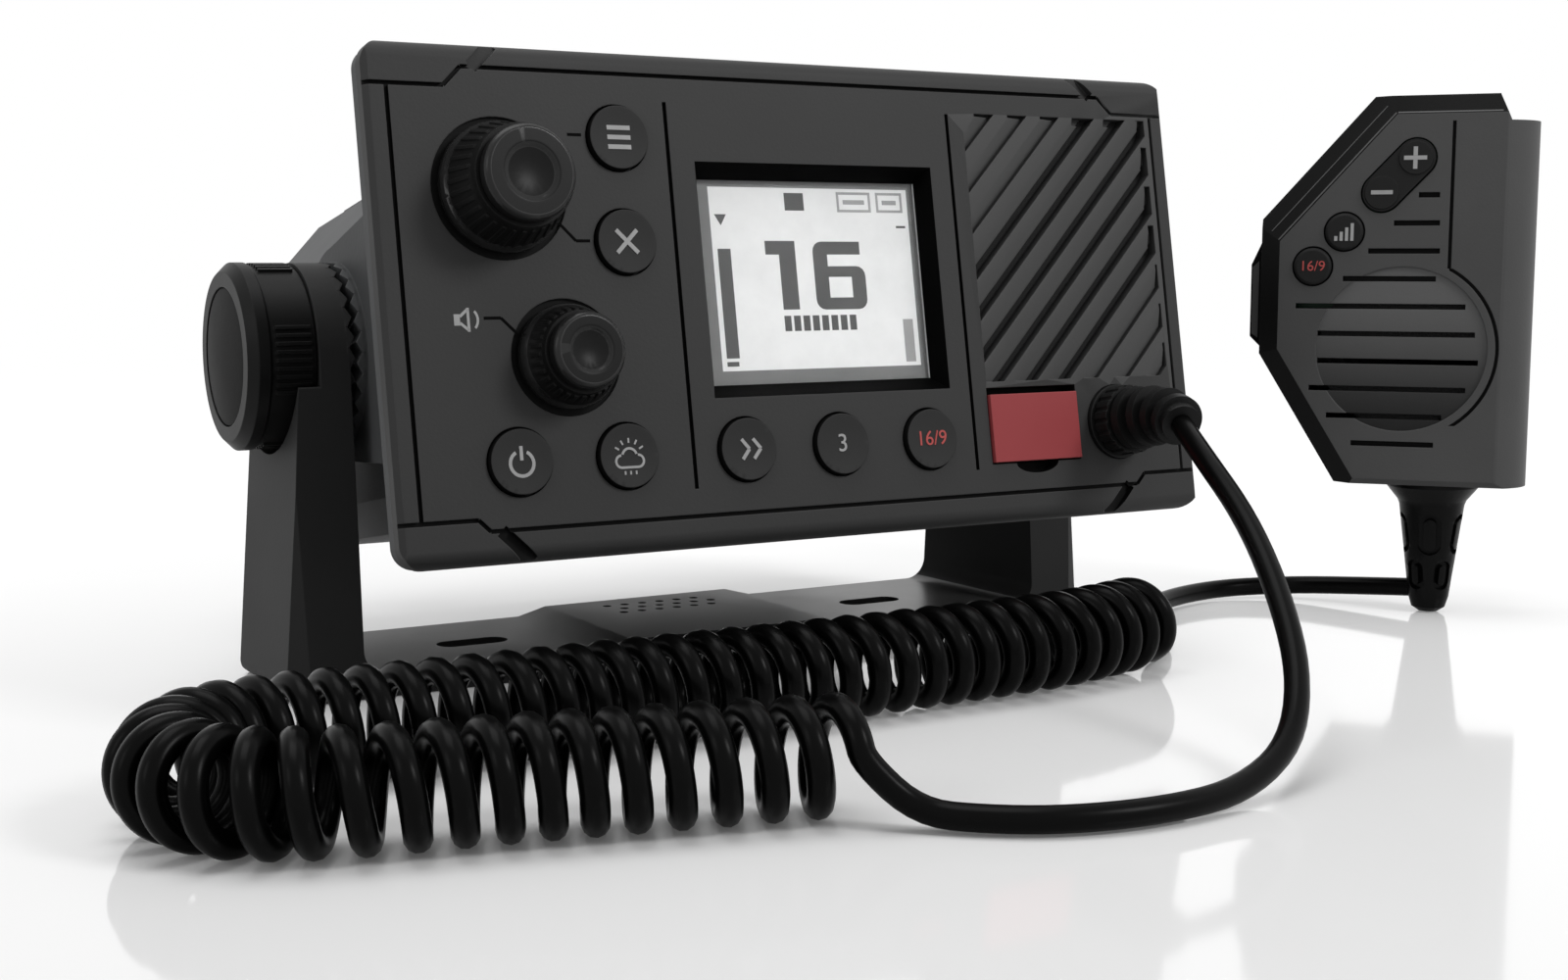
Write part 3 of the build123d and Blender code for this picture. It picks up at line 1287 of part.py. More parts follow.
def mic_front_block(inset, front):
    """The front shell's solid shape: bevels round the left and top, a rounded right side."""
    foot, low_right, _, _, top_right, top_left, upper, lower = mic_corners()
    cuts = [
        side_bevel(foot, low_right, inset, MIC_FOOT_BEVEL, front, 1),
        side_bevel(top_right, top_left, inset, MIC_TOP_BEVEL, front, 1),
        side_bevel(top_left, upper, inset, MIC_UPPER_BEVEL, front, 1),
        side_bevel(upper, lower, inset, MIC_LEFT_BEVEL, front, 1),
        side_bevel(lower, foot, inset, MIC_LEFT_BEVEL, front, 1),
        side_arc(inset, front),
    ]
    return mic_block(inset, MIC_PARTING, front) - cuts


def mic_rear_block(inset, back):
    """The rear shell's solid shape, with one bevel along every outer side."""
    corners = mic_corners()
    cuts = []
    for start, end in zip(corners, corners[1:] + corners[:1]):
        if (start[0], end[0]) != (MIC_RIGHT, MIC_STEP_LEFT) and end != (MIC_TOP_RIGHT, MIC_TOP):
            cuts.append(side_bevel(start, end, inset, MIC_REAR_BEVEL, back, -1))
    return mic_block(inset, back, MIC_PARTING - MIC_GASKET_T) - cuts


def ptt_window():
    """The opening in the left side for the talk key."""
    gap = PTT_GAP
    depth = PTT_HALF_D + gap
    return slab(MIC_LEFT - 6, MIC_LEFT + 5, PTT_LOW - gap, PTT_HIGH + gap, -depth, depth)


def mic_slots():
    """The row of horizontal sound slots, open over the loudspeaker and blind beyond."""
    cuts = []
    for index, (left, right) in enumerate(MIC_SLOT_ENDS):
        level = MIC_SLOT_TOP - index * MIC_SLOT_PITCH
        back = MIC_FRONT - MIC_WALL - 1 if index in MIC_OPEN_SLOTS else MIC_FRONT - 1.2
        cuts.append(bar((left, level), (right, level), MIC_SLOT_W, back, MIC_FRONT + 1))
    return cuts


def mic_seam():
    """The seam that runs down the face and round the loudspeaker field."""
    floor = MIC_FRONT - SEAM_D
    start = MIC_ROUND_AT[1] + math.sqrt(MIC_SEAM_R ** 2 - (MIC_SEAM_U - MIC_ROUND_AT[0]) ** 2)
    seam = bar((MIC_SEAM_U, MIC_STEP), (MIC_SEAM_U, start), SEAM_W, floor, MIC_FRONT + 1)
    ring = rod(MIC_ROUND_AT, MIC_SEAM_R + SEAM_W / 2, floor, MIC_FRONT + 1)
    ring -= rod(MIC_ROUND_AT, MIC_SEAM_R - SEAM_W / 2, floor, MIC_FRONT + 1)
    low = MIC_ROUND_AT[1] - 16
    keep = slab(MIC_SEAM_U, MIC_RIGHT, low, start, floor, MIC_FRONT + 1)
    return [seam, ring & keep]


def rocker_outline(grow):
    """The two-ended rocker key's oblong outline."""
    length = 2 * (MIC_ROCKER_HALF + MIC_KEY_R + grow)
    return Rot(0, 0, MIC_ROCKER_ANGLE) * SlotOverall(length, 2 * (MIC_KEY_R + grow))


def mic_key_holes():
    """The openings for the rocker and the two round keys."""
    back = MIC_FRONT - MIC_WALL - 1
    rocker = Pos(*MIC_ROCKER_AT, back) * rocker_outline(MIC_KEY_GAP)
    holes = [extrude(rocker, MIC_WALL + 2)]
    for at in (MIC_POWER_AT, MIC_CHANNEL_AT):
        holes.append(rod(at, MIC_KEY_R + MIC_KEY_GAP, back, MIC_FRONT + 1))
    return holes


def make_mic_front():
    """The microphone's front shell with chamfered edges, slots, seam and key holes."""
    block = mic_front_block(0, MIC_FRONT) - mic_front_block(MIC_WALL, MIC_FRONT - MIC_WALL)
    block -= rod(MIC_ROUND_AT, MIC_ROUND_R, MIC_FRONT - MIC_ROUND_D, MIC_FRONT + 1)
    block = block - mic_slots() - mic_seam() - mic_key_holes()
    return block - ptt_window() - boot_hole()


def boot_hole():
    """The round opening in the foot of the shells for the cord's boot."""
    hole = Cylinder(MIC_BOOT_R + 0.1, MIC_BOTTOM + 10, align=WITH_BASE)
    return Plane(origin=(0, 0, 0), z_dir=(0, 1, 0)) * hole


def make_mic_rear():
    """The rear shell, tapered to its back, with the same openings."""
    block = mic_rear_block(0, MIC_BACK) - mic_rear_block(MIC_WALL, MIC_BACK + MIC_WALL)
    return block - ptt_window() - boot_hole()


def make_mic_gasket():
    """The seal between the microphone's shells."""
    back, front = MIC_PARTING - MIC_GASKET_T, MIC_PARTING
    ring = mic_block(MIC_GASKET_INSET, back, front) - mic_block(MIC_WALL, back, front)
    return ring - ptt_window() - boot_hole()


PTT_FLANGE = MIC_LEFT + MIC_WALL + PTT_GAP


def make_ptt():
    """The talk key on the left side: a long bar with bevelled ends and an inner flange."""
    points = (
        (PTT_FLANGE, PTT_LOW),
        (PTT_FLANGE, PTT_HIGH),
        (MIC_LEFT, PTT_HIGH),
        (PTT_OUT, PTT_HIGH - PTT_TOP_SLOPE),
        (PTT_OUT, PTT_LOW + PTT_FOOT_SLOPE),
        (MIC_LEFT, PTT_LOW),
    )
    depth = PTT_HALF_D
    body = extrude(Pos(0, 0, -depth) * Polygon(*points, align=None), 2 * depth)
    low, high, reach = PTT_LOW - PTT_LAP, PTT_HIGH + PTT_LAP, depth + PTT_LAP
    return body + slab(PTT_FLANGE, PTT_FLANGE + 1.0, low, high, -reach, reach)


def make_mic_key(at):
    """A round microphone key with an inner flange."""
    flange_front = MIC_FRONT - MIC_WALL - MIC_KEY_GAP
    body = rod(at, MIC_KEY_R, flange_front, MIC_FRONT + MIC_KEY_PROUD)
    body = chamfer(body.faces().sort_by(Axis.Z)[-1].edges(), 0.5)
    return body + rod(at, MIC_KEY_R + 0.5, flange_front - 0.8, flange_front)


def make_mic_rocker():
    """The two-ended rocker key with a round pad at each end."""
    flange_front = MIC_FRONT - MIC_WALL - MIC_KEY_GAP - 0.2
    base = Pos(*MIC_ROCKER_AT, flange_front) * rocker_outline(0)
    body = extrude(base, MIC_FRONT + MIC_KEY_PROUD - 0.3 - flange_front)
    angle = math.radians(MIC_ROCKER_ANGLE)
    run = (MIC_ROCKER_HALF * math.cos(angle), MIC_ROCKER_HALF * math.sin(angle))
    pads = []
    for side in (-1, 1):
        at = (MIC_ROCKER_AT[0] + side * run[0], MIC_ROCKER_AT[1] + side * run[1])
        pads.append(rod(at, MIC_KEY_R - 0.5, MIC_FRONT, MIC_FRONT + MIC_KEY_PROUD))
    return body + pads


MIC_BOARD_FRONT = 6.2
MIC_BOARD_T = 1.4
MIC_BOARD_LOW = 66.0
TALK_SWITCH_GAP = 3.4
TALK_SWITCH_W = 4.5
TALK_SWITCH_H = 6.0


def make_mic_board():
    """The microphone's circuit board, with the key switches and the talk switch."""
    board = mic_block(MIC_WALL + 3.2, MIC_BOARD_FRONT - MIC_BOARD_T, MIC_BOARD_FRONT)
    board &= slab(MIC_LEFT, MIC_RIGHT, MIC_BOARD_LOW, MIC_TOP, MIC_BACK, MIC_FRONT)
    switches = []
    for at in (MIC_POWER_AT, MIC_CHANNEL_AT, MIC_ROCKER_AT):
        switches.append(rod(at, 2.2, MIC_BOARD_FRONT, MIC_BOARD_FRONT + 1.7))
    start, middle = PTT_FLANGE + PTT_TRAVEL + TALK_SWITCH_GAP, (PTT_LOW + PTT_HIGH) / 2
    sides = (start, start + TALK_SWITCH_W, middle - TALK_SWITCH_H / 2, middle + TALK_SWITCH_H / 2)
    talk = slab(*sides, MIC_BOARD_FRONT - TALK_SWITCH_H, MIC_BOARD_FRONT - MIC_BOARD_T)
    return board + switches + [talk]


def make_mic_speaker():
    """The small loudspeaker behind the round field, with its magnet."""
    front = MIC_FRONT - MIC_WALL - 0.3
    body = rod(MIC_ROUND_AT, MIC_SPEAKER_R, front - 3.0, front)
    return body + rod(MIC_ROUND_AT, MIC_MAGNET_R, front - 8.5, front - 3.0)


def make_mic_element():
    """The microphone capsule beside the loudspeaker."""
    front = MIC_FRONT - MIC_WALL - 0.3
    return rod(MIC_ELEMENT_AT, 3.0, front - 4.0, front)


def make_hanger_stud():
    """The round hanger button on the back of the microphone."""
    at = (-7.8, 80.0)
    neck = rod(at, 4.0, MIC_BACK - 4.0, MIC_BACK)
    return neck + rod(at, 7.0, MIC_BACK - 6.4, MIC_BACK - 4.0)


def make_mic_screws():
    """Three screws in the rear shell."""
    screws = [rod(at, 2.4, MIC_BACK - 1.4, MIC_BACK) for at in MIC_SCREWS]
    return Compound(children=screws)


def boot_loops():
    """The oblong loops pressed into the tapered boot, in two staggered rows."""
    taper_h = MIC_BOTTOM - MIC_COLLAR_H - 1.0 - MIC_BOOT_TIP_H
    lean = math.degrees(math.atan((MIC_BOOT_TOP_R - MIC_BOOT_TIP_R) / taper_h))
    loops = []
    for row, (level, depth, length, width) in enumerate(MIC_BOOT_LOOPS):
        inner = SlotOverall(length - 2 * MIC_LOOP_LINE, width - 2 * MIC_LOOP_LINE)
        ring = Rot(0, 0, 90) * (SlotOverall(length, width) - inner)
        tool = Pos(0, level, depth) * Rot(lean, 0, 0) * extrude(ring, MIC_BOOT_R)
        for index in range(MIC_LOOPS_ROUND):
            if (row, index) != MIC_LEAD_LOOP:
                loops.append(Rot(0, (index + row / 2) * 360 / MIC_LOOPS_ROUND, 0) * tool)
    return loops


def make_mic_boot():
    """The cord's boot under the microphone: collar, tapered barrel, round tip and loops."""
    tip, collar_low = MIC_BOOT_TIP_R, MIC_BOTTOM - MIC_COLLAR_H
    outline = Polygon(
        (0, 0),
        (0.5 * tip, 0),
        (0.84 * tip, 0.3 * MIC_BOOT_TIP_H),
        (tip, MIC_BOOT_TIP_H),
        (MIC_BOOT_TOP_R, collar_low - 1.0),
        (MIC_BOOT_R, collar_low),
        (MIC_COLLAR_R, MIC_BOTTOM - 1.0),
        (MIC_COLLAR_R, MIC_BOTTOM),
        (MIC_BOOT_R, MIC_BOTTOM),
        (MIC_BOOT_R, MIC_BOTTOM + 5.0),
        (0, MIC_BOTTOM + 5.0),
        align=None,
    )
    return revolve(outline, Axis.Y) - boot_loops()


# ---- Cord --------------------------------------------------------------------------------
def corner_radii(points):
    """Each corner's arc radius: 0.45 of its shorter run over the tangent of half the turn."""
    radii = []
    for before, here, after in zip(points, points[1:], points[2:]):
        run_in, run_out = Vector(*here) - Vector(*before), Vector(*after) - Vector(*here)
        half_turn = math.radians(run_in.get_angle(run_out)) / 2
        shorter = min(run_in.length, run_out.length)
        radii.append(0.45 * shorter / math.tan(half_turn))
    return radii


def cord_tube(name, points, radius):
    """A round tube along straight runs joined by tangent arcs."""
    radii = corner_radii(points)
    line = FilletPolyline(*points, radius=radii)
    tube = sweep(Plane(line @ 0, z_dir=line % 0) * Circle(radius), line)
    expected = math.pi * radius ** 2 * line.length
    print(name, "length", round(line.length, 1), "radii", [round(value, 1) for value in radii])
    print(name, "volume over section times length", round(tube.volume / expected, 4))
    return tube


def plug_lead_points():
    """The hanging lead's route, from the boot's end to the near end of the coil."""
    line = boot_line()
    placed = RADIO * Plane(line @ 1, z_dir=line % 1).location
    start = placed.position
    lead_out = (placed * Pos(0, 0, PLUG_LEAD_OUT)).position
    return ((start.X, start.Y, start.Z), (lead_out.X, lead_out.Y, lead_out.Z)) + PLUG_LEAD_ROUTE


def coil_points():
    """The coil's centre line, lying on the table."""
    return tuple((x, y, COIL_R) for x, y in COIL_ROUTE)


def coil_side(end, inner):
    """A block on the coil's side of one of its end faces."""
    tip, before = Vector(*coil_points()[end]), Vector(*coil_points()[inner])
    end_face = Plane(origin=tip, z_dir=before - tip)
    return end_face * Box(4 * COIL_R, 4 * COIL_R, 4 * COIL_R, align=WITH_BASE)


def mic_lead_points():
    """The lead on the table, from the far end of the coil into the microphone's boot."""
    return MIC_LEAD_ROUTE + ((MIC_X, MIC_Y, MIC_BOOT_FOOT),)


def make_plug_lead():
    """The hanging lead, cut flush with the coil's near end."""
    return cord_tube("lead_plug_end", plug_lead_points(), CORD_R) - coil_side(0, 1)


def make_mic_lead():
    """The lead on the table, cut flush with the coil's far end and with the boot."""
    tube = cord_tube("lead_mic_end", mic_lead_points(), CORD_R)
    return tube - coil_side(-1, -2) - MIC * make_mic_boot()


# ---- Build -------------------------------------------------------------------------------
def build_radio():
    """Writes every piece of the radio."""
    save("front_bezel", RADIO, make_front_bezel())
    save("rear_housing", RADIO, make_rear_housing())
    save("housing_gasket", RADIO, make_housing_gasket())
    save("lcd_window", RADIO, make_lcd_window())
    save("lcd_module", RADIO, make_lcd_module())
    save("front_board", RADIO, make_front_board())
    save("main_board", RADIO, make_main_board())
    save("keypad_mat", RADIO, make_keypad_mat())
    save("loudspeaker", RADIO, make_loudspeaker())
    save("gps_antenna", RADIO, make_gps_antenna())
    save("antenna_socket", RADIO, make_antenna_socket())
    save("power_gland", RADIO, make_power_gland())
    save("housing_screws", RADIO, make_housing_screws())
    save("pivot_inserts", RADIO, make_pivot_inserts())
    save("distress_flap", RADIO, make_distress_flap())
    save("distress_key", RADIO, make_distress_key())
    for name, at in KEY_PLACES.items():
        save(name, RADIO, make_key(at))
    knobs = (("channel", CHANNEL_AT, CHANNEL_R, CHANNEL_H), ("volume", VOLUME_AT, VOLUME_R, VOLUME_H))
    for name, at, radius, height in knobs:
        save(f"{name}_knob", RADIO, make_knob(at, radius, height))
        save(f"{name}_knob_cap", RADIO, make_knob_cap(at, radius, height))
        save(f"{name}_shaft", RADIO, make_shaft(at, height))
        save(f"{name}_plunger", RADIO, make_plunger(at))
        save(f"{name}_encoder", RADIO, make_encoder(at))


def build_plug_and_cord():
    """Writes the microphone plug and the cord's three stretches."""
    save("mic_socket", RADIO, make_mic_socket())
    save("plug_body", RADIO, make_plug_body())
    save("plug_nut", RADIO, make_plug_nut())
    save("plug_boot", RADIO, make_plug_boot())
    save("lead_plug_end", WORLD, make_plug_lead())
    save("coil_cord", WORLD, cord_tube("coil_cord", coil_points(), COIL_R))
    save("lead_mic_end", WORLD, make_mic_lead())


def build_bracket():
    """Writes the bracket and both clamp knobs."""
    save("gimbal_bracket", WORLD, make_gimbal_bracket())
    pieces = {"knob": make_clamp_knob(), "cap": make_clamp_cap(), "stud": make_clamp_stud()}
    for name, piece in pieces.items():
        save(f"right_clamp_{name}", WORLD, piece)
        save(f"left_clamp_{name}", WORLD, mirror(piece, Plane.YZ))


def build_microphone():
    """Writes every piece of the hand microphone."""
    save("mic_front_shell", MIC, make_mic_front())
    save("mic_rear_shell", MIC, make_mic_rear())
    save("mic_gasket", MIC, make_mic_gasket())
    save("mic_board", MIC, make_mic_board())
    save("mic_speaker", MIC, make_mic_speaker())
    save("mic_element", MIC, make_mic_element())
    save("mic_talk_key", MIC, make_ptt())
    save("mic_rocker_key", MIC, make_mic_rocker())
    save("mic_power_key", MIC, make_mic_key(MIC_POWER_AT))
    save("mic_channel_key", MIC, make_mic_key(MIC_CHANNEL_AT))
    save("mic_hanger_stud", MIC, make_hanger_stud())
    save("mic_screws", MIC, make_mic_screws())
    save("mic_boot", MIC, make_mic_boot())


build_bracket()
build_radio()
build_plug_and_cord()
build_microphone()
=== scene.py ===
"""Looks of a fixed-mount marine radio with its gimbal bracket, hand microphone and coiled lead.

The solids come from the frame. This script dresses them and adds the cord, the display's
picture, the key legends and the fine trim. Sizes are in millimetres on the radio's face or on
the microphone's front, and turn into the part's metres through a Place.
"""

import json
import logging
import math
from dataclasses import dataclass, field
from enum import Enum
from typing import Callable, Sequence

import bmesh
import bpy
from mathutils import Matrix, Vector

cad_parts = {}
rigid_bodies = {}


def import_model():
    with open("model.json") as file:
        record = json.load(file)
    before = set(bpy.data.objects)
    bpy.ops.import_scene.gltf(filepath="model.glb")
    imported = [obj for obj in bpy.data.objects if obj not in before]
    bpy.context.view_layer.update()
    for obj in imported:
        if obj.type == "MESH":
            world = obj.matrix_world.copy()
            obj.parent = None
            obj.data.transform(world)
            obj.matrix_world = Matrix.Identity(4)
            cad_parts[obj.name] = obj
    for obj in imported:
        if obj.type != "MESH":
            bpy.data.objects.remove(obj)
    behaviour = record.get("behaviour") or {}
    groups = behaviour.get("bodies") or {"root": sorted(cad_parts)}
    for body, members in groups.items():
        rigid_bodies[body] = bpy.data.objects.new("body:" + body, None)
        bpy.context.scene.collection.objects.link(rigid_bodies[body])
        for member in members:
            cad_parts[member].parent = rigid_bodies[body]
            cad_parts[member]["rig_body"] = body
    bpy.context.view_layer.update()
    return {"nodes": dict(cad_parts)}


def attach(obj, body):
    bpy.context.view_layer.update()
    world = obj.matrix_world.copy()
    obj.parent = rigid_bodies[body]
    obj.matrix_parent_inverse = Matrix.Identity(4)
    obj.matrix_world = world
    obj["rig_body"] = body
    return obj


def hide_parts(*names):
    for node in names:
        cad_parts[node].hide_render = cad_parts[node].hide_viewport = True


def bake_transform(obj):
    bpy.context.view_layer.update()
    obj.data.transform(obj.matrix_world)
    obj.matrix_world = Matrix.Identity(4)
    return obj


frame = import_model()

log = logging.getLogger("radio")
logging.basicConfig(level=logging.INFO, format="%(message)s")

Point = tuple[float, float]
Point3 = tuple[float, float, float]
Box = tuple[float, float, float, float]
Socket = bpy.types.NodeSocket
MM = 0.001


# ---- Places ------------------------------------------------------------------------------
HINGE_HEIGHT = 59.5
FACE_LEAN = -10.0
# The face's lower left corner, seen from the hinge line before the lean.
FACE_CORNER = (-80.5, -56.7, -41.0)
HANDSET_FOOT = (156.9, -52.4, 0.0)
HANDSET_TURN = -50.0


class Place(Enum):
    """The frames that sizes in millimetres are given in."""

    WORLD = "world"
    FACE = "face"
    HANDSET = "handset"

    def matrix(self) -> Matrix:
        """The transform from this place's millimetres to the part's metres.

        Returns:
            A 4x4 matrix.
        """
        scale = Matrix.Scale(MM, 4)
        upright = Matrix(((1, 0, 0, 0), (0, 0, -1, 0), (0, 1, 0, 0), (0, 0, 0, 1)))
        if self is Place.WORLD:
            return scale
        if self is Place.FACE:
            lean = Matrix.Rotation(math.radians(FACE_LEAN), 4, "X")
            hinge = Matrix.Translation((0, 0, HINGE_HEIGHT)) @ lean
            return scale @ hinge @ Matrix.Translation(FACE_CORNER) @ upright
        turn = Matrix.Rotation(math.radians(HANDSET_TURN), 4, "Z")
        return scale @ Matrix.Translation(HANDSET_FOOT) @ turn @ upright


@dataclass(frozen=True)
class Area:
    """A rectangle in a place's millimetres, seen from the front."""

    left: float
    right: float
    low: float
    high: float

    def holds(self, at: Vector) -> bool:
        """Whether a point lies in the rectangle, in front of it or behind it."""
        return self.left < at.x < self.right and self.low < at.y < self.high


@dataclass(frozen=True)
class Knob:
    """A rotary knob: its middle on the face, and the radii of its foot and its dish.

    Its polished rim starts at a share of the foot's radius.
    """

    at: Point
    foot: float
    dish: float
    rim_share: float = 0.93

    def _away(self, at: Vector) -> float:
        """How far a point lies from the knob's axis."""
        return math.hypot(at.x - self.at[0], at.y - self.at[1])

    def in_dish(self, at: Vector, normal: Vector) -> bool:
        """The dished centre of the knob's cap."""
        return self._away(at) < self.dish

    def on_rim(self, at: Vector, normal: Vector) -> bool:
        """The polished rim at the knob's foot."""
        return self._away(at) > self.rim_share * self.foot and normal.z > -0.5


CHANNEL_KNOB = Knob((21.2, 59.9), 10.6, 3.85)
VOLUME_KNOB = Knob((30.3, 32.5), 8.6, 3.1)
MIC_SPEAKER_AT = (-7.2, 57.5)
FACE_KEYS = (
    "key_menu",
    "key_cancel",
    "key_power",
    "key_weather",
    "key_scan",
    "key_three_channel",
    "key_sixteen",
)
HANDSET_KEYS = ("mic_rocker_key", "mic_power_key", "mic_channel_key")


def add_object(name: str, data: bpy.types.ID) -> bpy.types.Object:
    """Makes an object and puts it into the scene.

    Args:
        name: The object's name.
        data: Its mesh, curve, lamp or camera.

    Returns:
        The object.
    """
    made = bpy.data.objects.new(name, data)
    bpy.context.scene.collection.objects.link(made)
    return made


def meshed(curve: bpy.types.Curve) -> bpy.types.Mesh:
    """Turns a curve or letters into a mesh, and removes the curve.

    Args:
        curve: The curve.

    Returns:
        The mesh.
    """
    holder = add_object(curve.name, curve)
    bpy.context.view_layer.update()
    mesh = bpy.data.meshes.new_from_object(
        holder.evaluated_get(bpy.context.evaluated_depsgraph_get())
    )
    bpy.data.objects.remove(holder)
    bpy.data.curves.remove(curve)
    return mesh


# ---- Shader building ---------------------------------------------------------------------
def linear(code: str) -> tuple[float, float, float, float]:
    """Turns a hexadecimal screen colour into linear light.

    Args:
        code: Six hexadecimal digits.

    Returns:
        Red, green, blue and a full alpha.
    """
    parts = [int(code[k : k + 2], 16) / 255 for k in (0, 2, 4)]
    light = [p / 12.92 if p <= 0.04045 else ((p + 0.055) / 1.055) ** 2.4 for p in parts]
    return (light[0], light[1], light[2], 1.0)


@dataclass
class Graph:
    """A node tree, with shorthands for its nodes and links."""

    tree: bpy.types.NodeTree

    def add(self, kind: str, **values: float) -> bpy.types.Node:
        """Adds a node.

        Args:
            kind: The node's type.
            values: Input names, with _ for a space, and their values.

        Returns:
            The node.
        """
        node = self.tree.nodes.new(kind)
        for label, value in values.items():
            node.inputs[label.replace("_", " ")].default_value = value
        return node

    def link(self, start: Socket, end: Socket) -> None:
        """Joins two sockets."""
        self.tree.links.new(start, end)

    def maths(self, operation: str, first: Socket, second: Socket | float) -> bpy.types.Node:
        """Adds a calculation with two values.

        Args:
            operation: The kind of calculation.
            first: The first value.
            second: The second value, as a socket or a plain number.

        Returns:
            The calculation's node.
        """
        node = self.add("ShaderNodeMath")
        node.operation = operation
        self.link(first, node.inputs[0])
        if isinstance(second, float):
            node.inputs[1].default_value = second
        else:
            self.link(second, node.inputs[1])
        return node

    def ranged(self, value: Socket, smooth: bool = False, **ends: float) -> Socket:
        """Maps a value from one range to another.

        Args:
            value: The value.
            smooth: Whether the range's ends ease in and out.
            ends: From_Min, From_Max, To_Min and To_Max, where they aren't 0 and 1.

        Returns:
            The mapped value.
        """
        node = self.add("ShaderNodeMapRange", **ends)
        if smooth:
            node.interpolation_type = "SMOOTHSTEP"
        self.link(value, node.inputs["Value"])
        return node.outputs["Result"]

    def blend(self, mask: Socket, low: Socket | str, high: Socket | str) -> Socket:
        """Blends two colours, each given as a socket or as six hexadecimal digits.

        Args:
            mask: The blend's mask.
            low: The colour at 0.
            high: The colour at 1.

        Returns:
            The blended colour.
        """
        mix = self.add("ShaderNodeMix")
        mix.data_type = "RGBA"
        self.link(mask, mix.inputs[0])
        for colour, socket in ((low, mix.inputs[6]), (high, mix.inputs[7])):
            if isinstance(colour, str):
                socket.default_value = linear(colour)
            else:
                self.link(colour, socket)
        return mix.outputs[2]


Draw = Callable[[Graph, bpy.types.NodeOutputs], dict[str, Socket]]


@dataclass(frozen=True)
class SharedGroup:
    """A node group that several finishes use, built on its first use."""

    name: str
    inputs: tuple[str, ...]
    outputs: tuple[tuple[str, str], ...]
    draw: Draw

    def tree(self) -> bpy.types.NodeTree:
        """Finds or makes the group, with a vector and number inputs.

        Returns:
            The group's node tree.
        """
        found = bpy.data.node_groups.get(self.name)
        if found:
            return found
        tree = bpy.data.node_groups.new(self.name, "ShaderNodeTree")
        for label in ("Vector", *self.inputs):
            kind = "NodeSocketVector" if label == "Vector" else "NodeSocketFloat"
            tree.interface.new_socket(label, in_out="INPUT", socket_type=kind)
        for label, kind in self.outputs:
            tree.interface.new_socket(label, in_out="OUTPUT", socket_type=kind)
        graph = Graph(tree)
        enter, leave = graph.add("NodeGroupInput"), graph.add("NodeGroupOutput")
        for label, socket in self.draw(graph, enter.outputs).items():
            graph.link(socket, leave.inputs[label])
        return tree


def draw_grain(graph: Graph, given: bpy.types.NodeOutputs) -> dict[str, Socket]:
    """Draws the fine spark-eroded grain of moulded plastic.

    Args:
        graph: The group under construction.
        given: Vector, Size and Softness.

    Returns:
        Height and Speckle.
    """
    pits, haze = graph.add("ShaderNodeTexVoronoi"), graph.add("ShaderNodeTexNoise", Detail=2.0)
    for node in (pits, haze):
        graph.link(given["Vector"], node.inputs["Vector"])
        graph.link(given["Size"], node.inputs["Scale"])
    mixed = graph.add("ShaderNodeMix")
    graph.link(given["Softness"], mixed.inputs["Factor"])
    graph.link(pits.outputs["Distance"], mixed.inputs[2])
    graph.link(haze.outputs["Fac"], mixed.inputs[3])
    return {"Height": mixed.outputs[0], "Speckle": haze.outputs["Fac"]}


def draw_handling(graph: Graph, given: bpy.types.NodeOutputs) -> dict[str, Socket]:
    """Draws the soft patches where a surface has been touched and wiped.

    Args:
        graph: The group under construction.
        given: Vector, Size and Contrast.

    Returns:
        Mask.
    """
    cloud = graph.add("ShaderNodeTexNoise", Detail=5.0, Roughness=0.6)
    graph.link(given["Vector"], cloud.inputs["Vector"])
    graph.link(given["Size"], cloud.inputs["Scale"])
    centred = graph.maths("SUBTRACT", cloud.outputs["Fac"], 0.5)
    spread = graph.maths("MULTIPLY", centred.outputs[0], given["Contrast"])
    shifted = graph.maths("ADD", spread.outputs[0], 0.5)
    shifted.use_clamp = True
    return {"Mask": shifted.outputs[0]}


def draw_edge_sheen(graph: Graph, given: bpy.types.NodeOutputs) -> dict[str, Socket]:
    """Draws the thin, broken pale line along the corners: a painted highlight, broken up like light
    wear.

    Args:
        graph: The group under construction.
        given: Vector and Radius.

    Returns:
        Mask, and the Normal of the rounded corner.
    """
    rounded, real = graph.add("ShaderNodeBevel"), graph.add("ShaderNodeNewGeometry")
    rounded.samples = 4
    graph.link(given["Radius"], rounded.inputs["Radius"])
    turned = graph.add("ShaderNodeVectorMath")
    turned.operation = "DOT_PRODUCT"
    graph.link(rounded.outputs["Normal"], turned.inputs[0])
    graph.link(real.outputs["True Normal"], turned.inputs[1])
    bent = graph.ranged(turned.outputs["Value"], From_Min=0.985, From_Max=0.8)
    patchy = graph.add("ShaderNodeTexNoise", Scale=320.0, Detail=3.0)
    graph.link(given["Vector"], patchy.inputs["Vector"])
    edge_sheen = graph.maths("MULTIPLY", bent, patchy.outputs["Fac"])
    return {"Mask": edge_sheen.outputs[0], "Normal": rounded.outputs["Normal"]}


GRAIN = SharedGroup(
    "mould_grain",
    ("Size", "Softness"),
    (("Height", "NodeSocketFloat"), ("Speckle", "NodeSocketFloat")),
    draw_grain,
)
HANDLING = SharedGroup(
    "handling_marks", ("Size", "Contrast"), (("Mask", "NodeSocketFloat"),), draw_handling
)
# The pale line along the corners is a painted highlight, broken up like light wear.
EDGE_SHEEN = SharedGroup(
    "edge_wear_and_sheen",
    ("Radius",),
    (("Mask", "NodeSocketFloat"), ("Normal", "NodeSocketVector")),
    draw_edge_sheen,
)


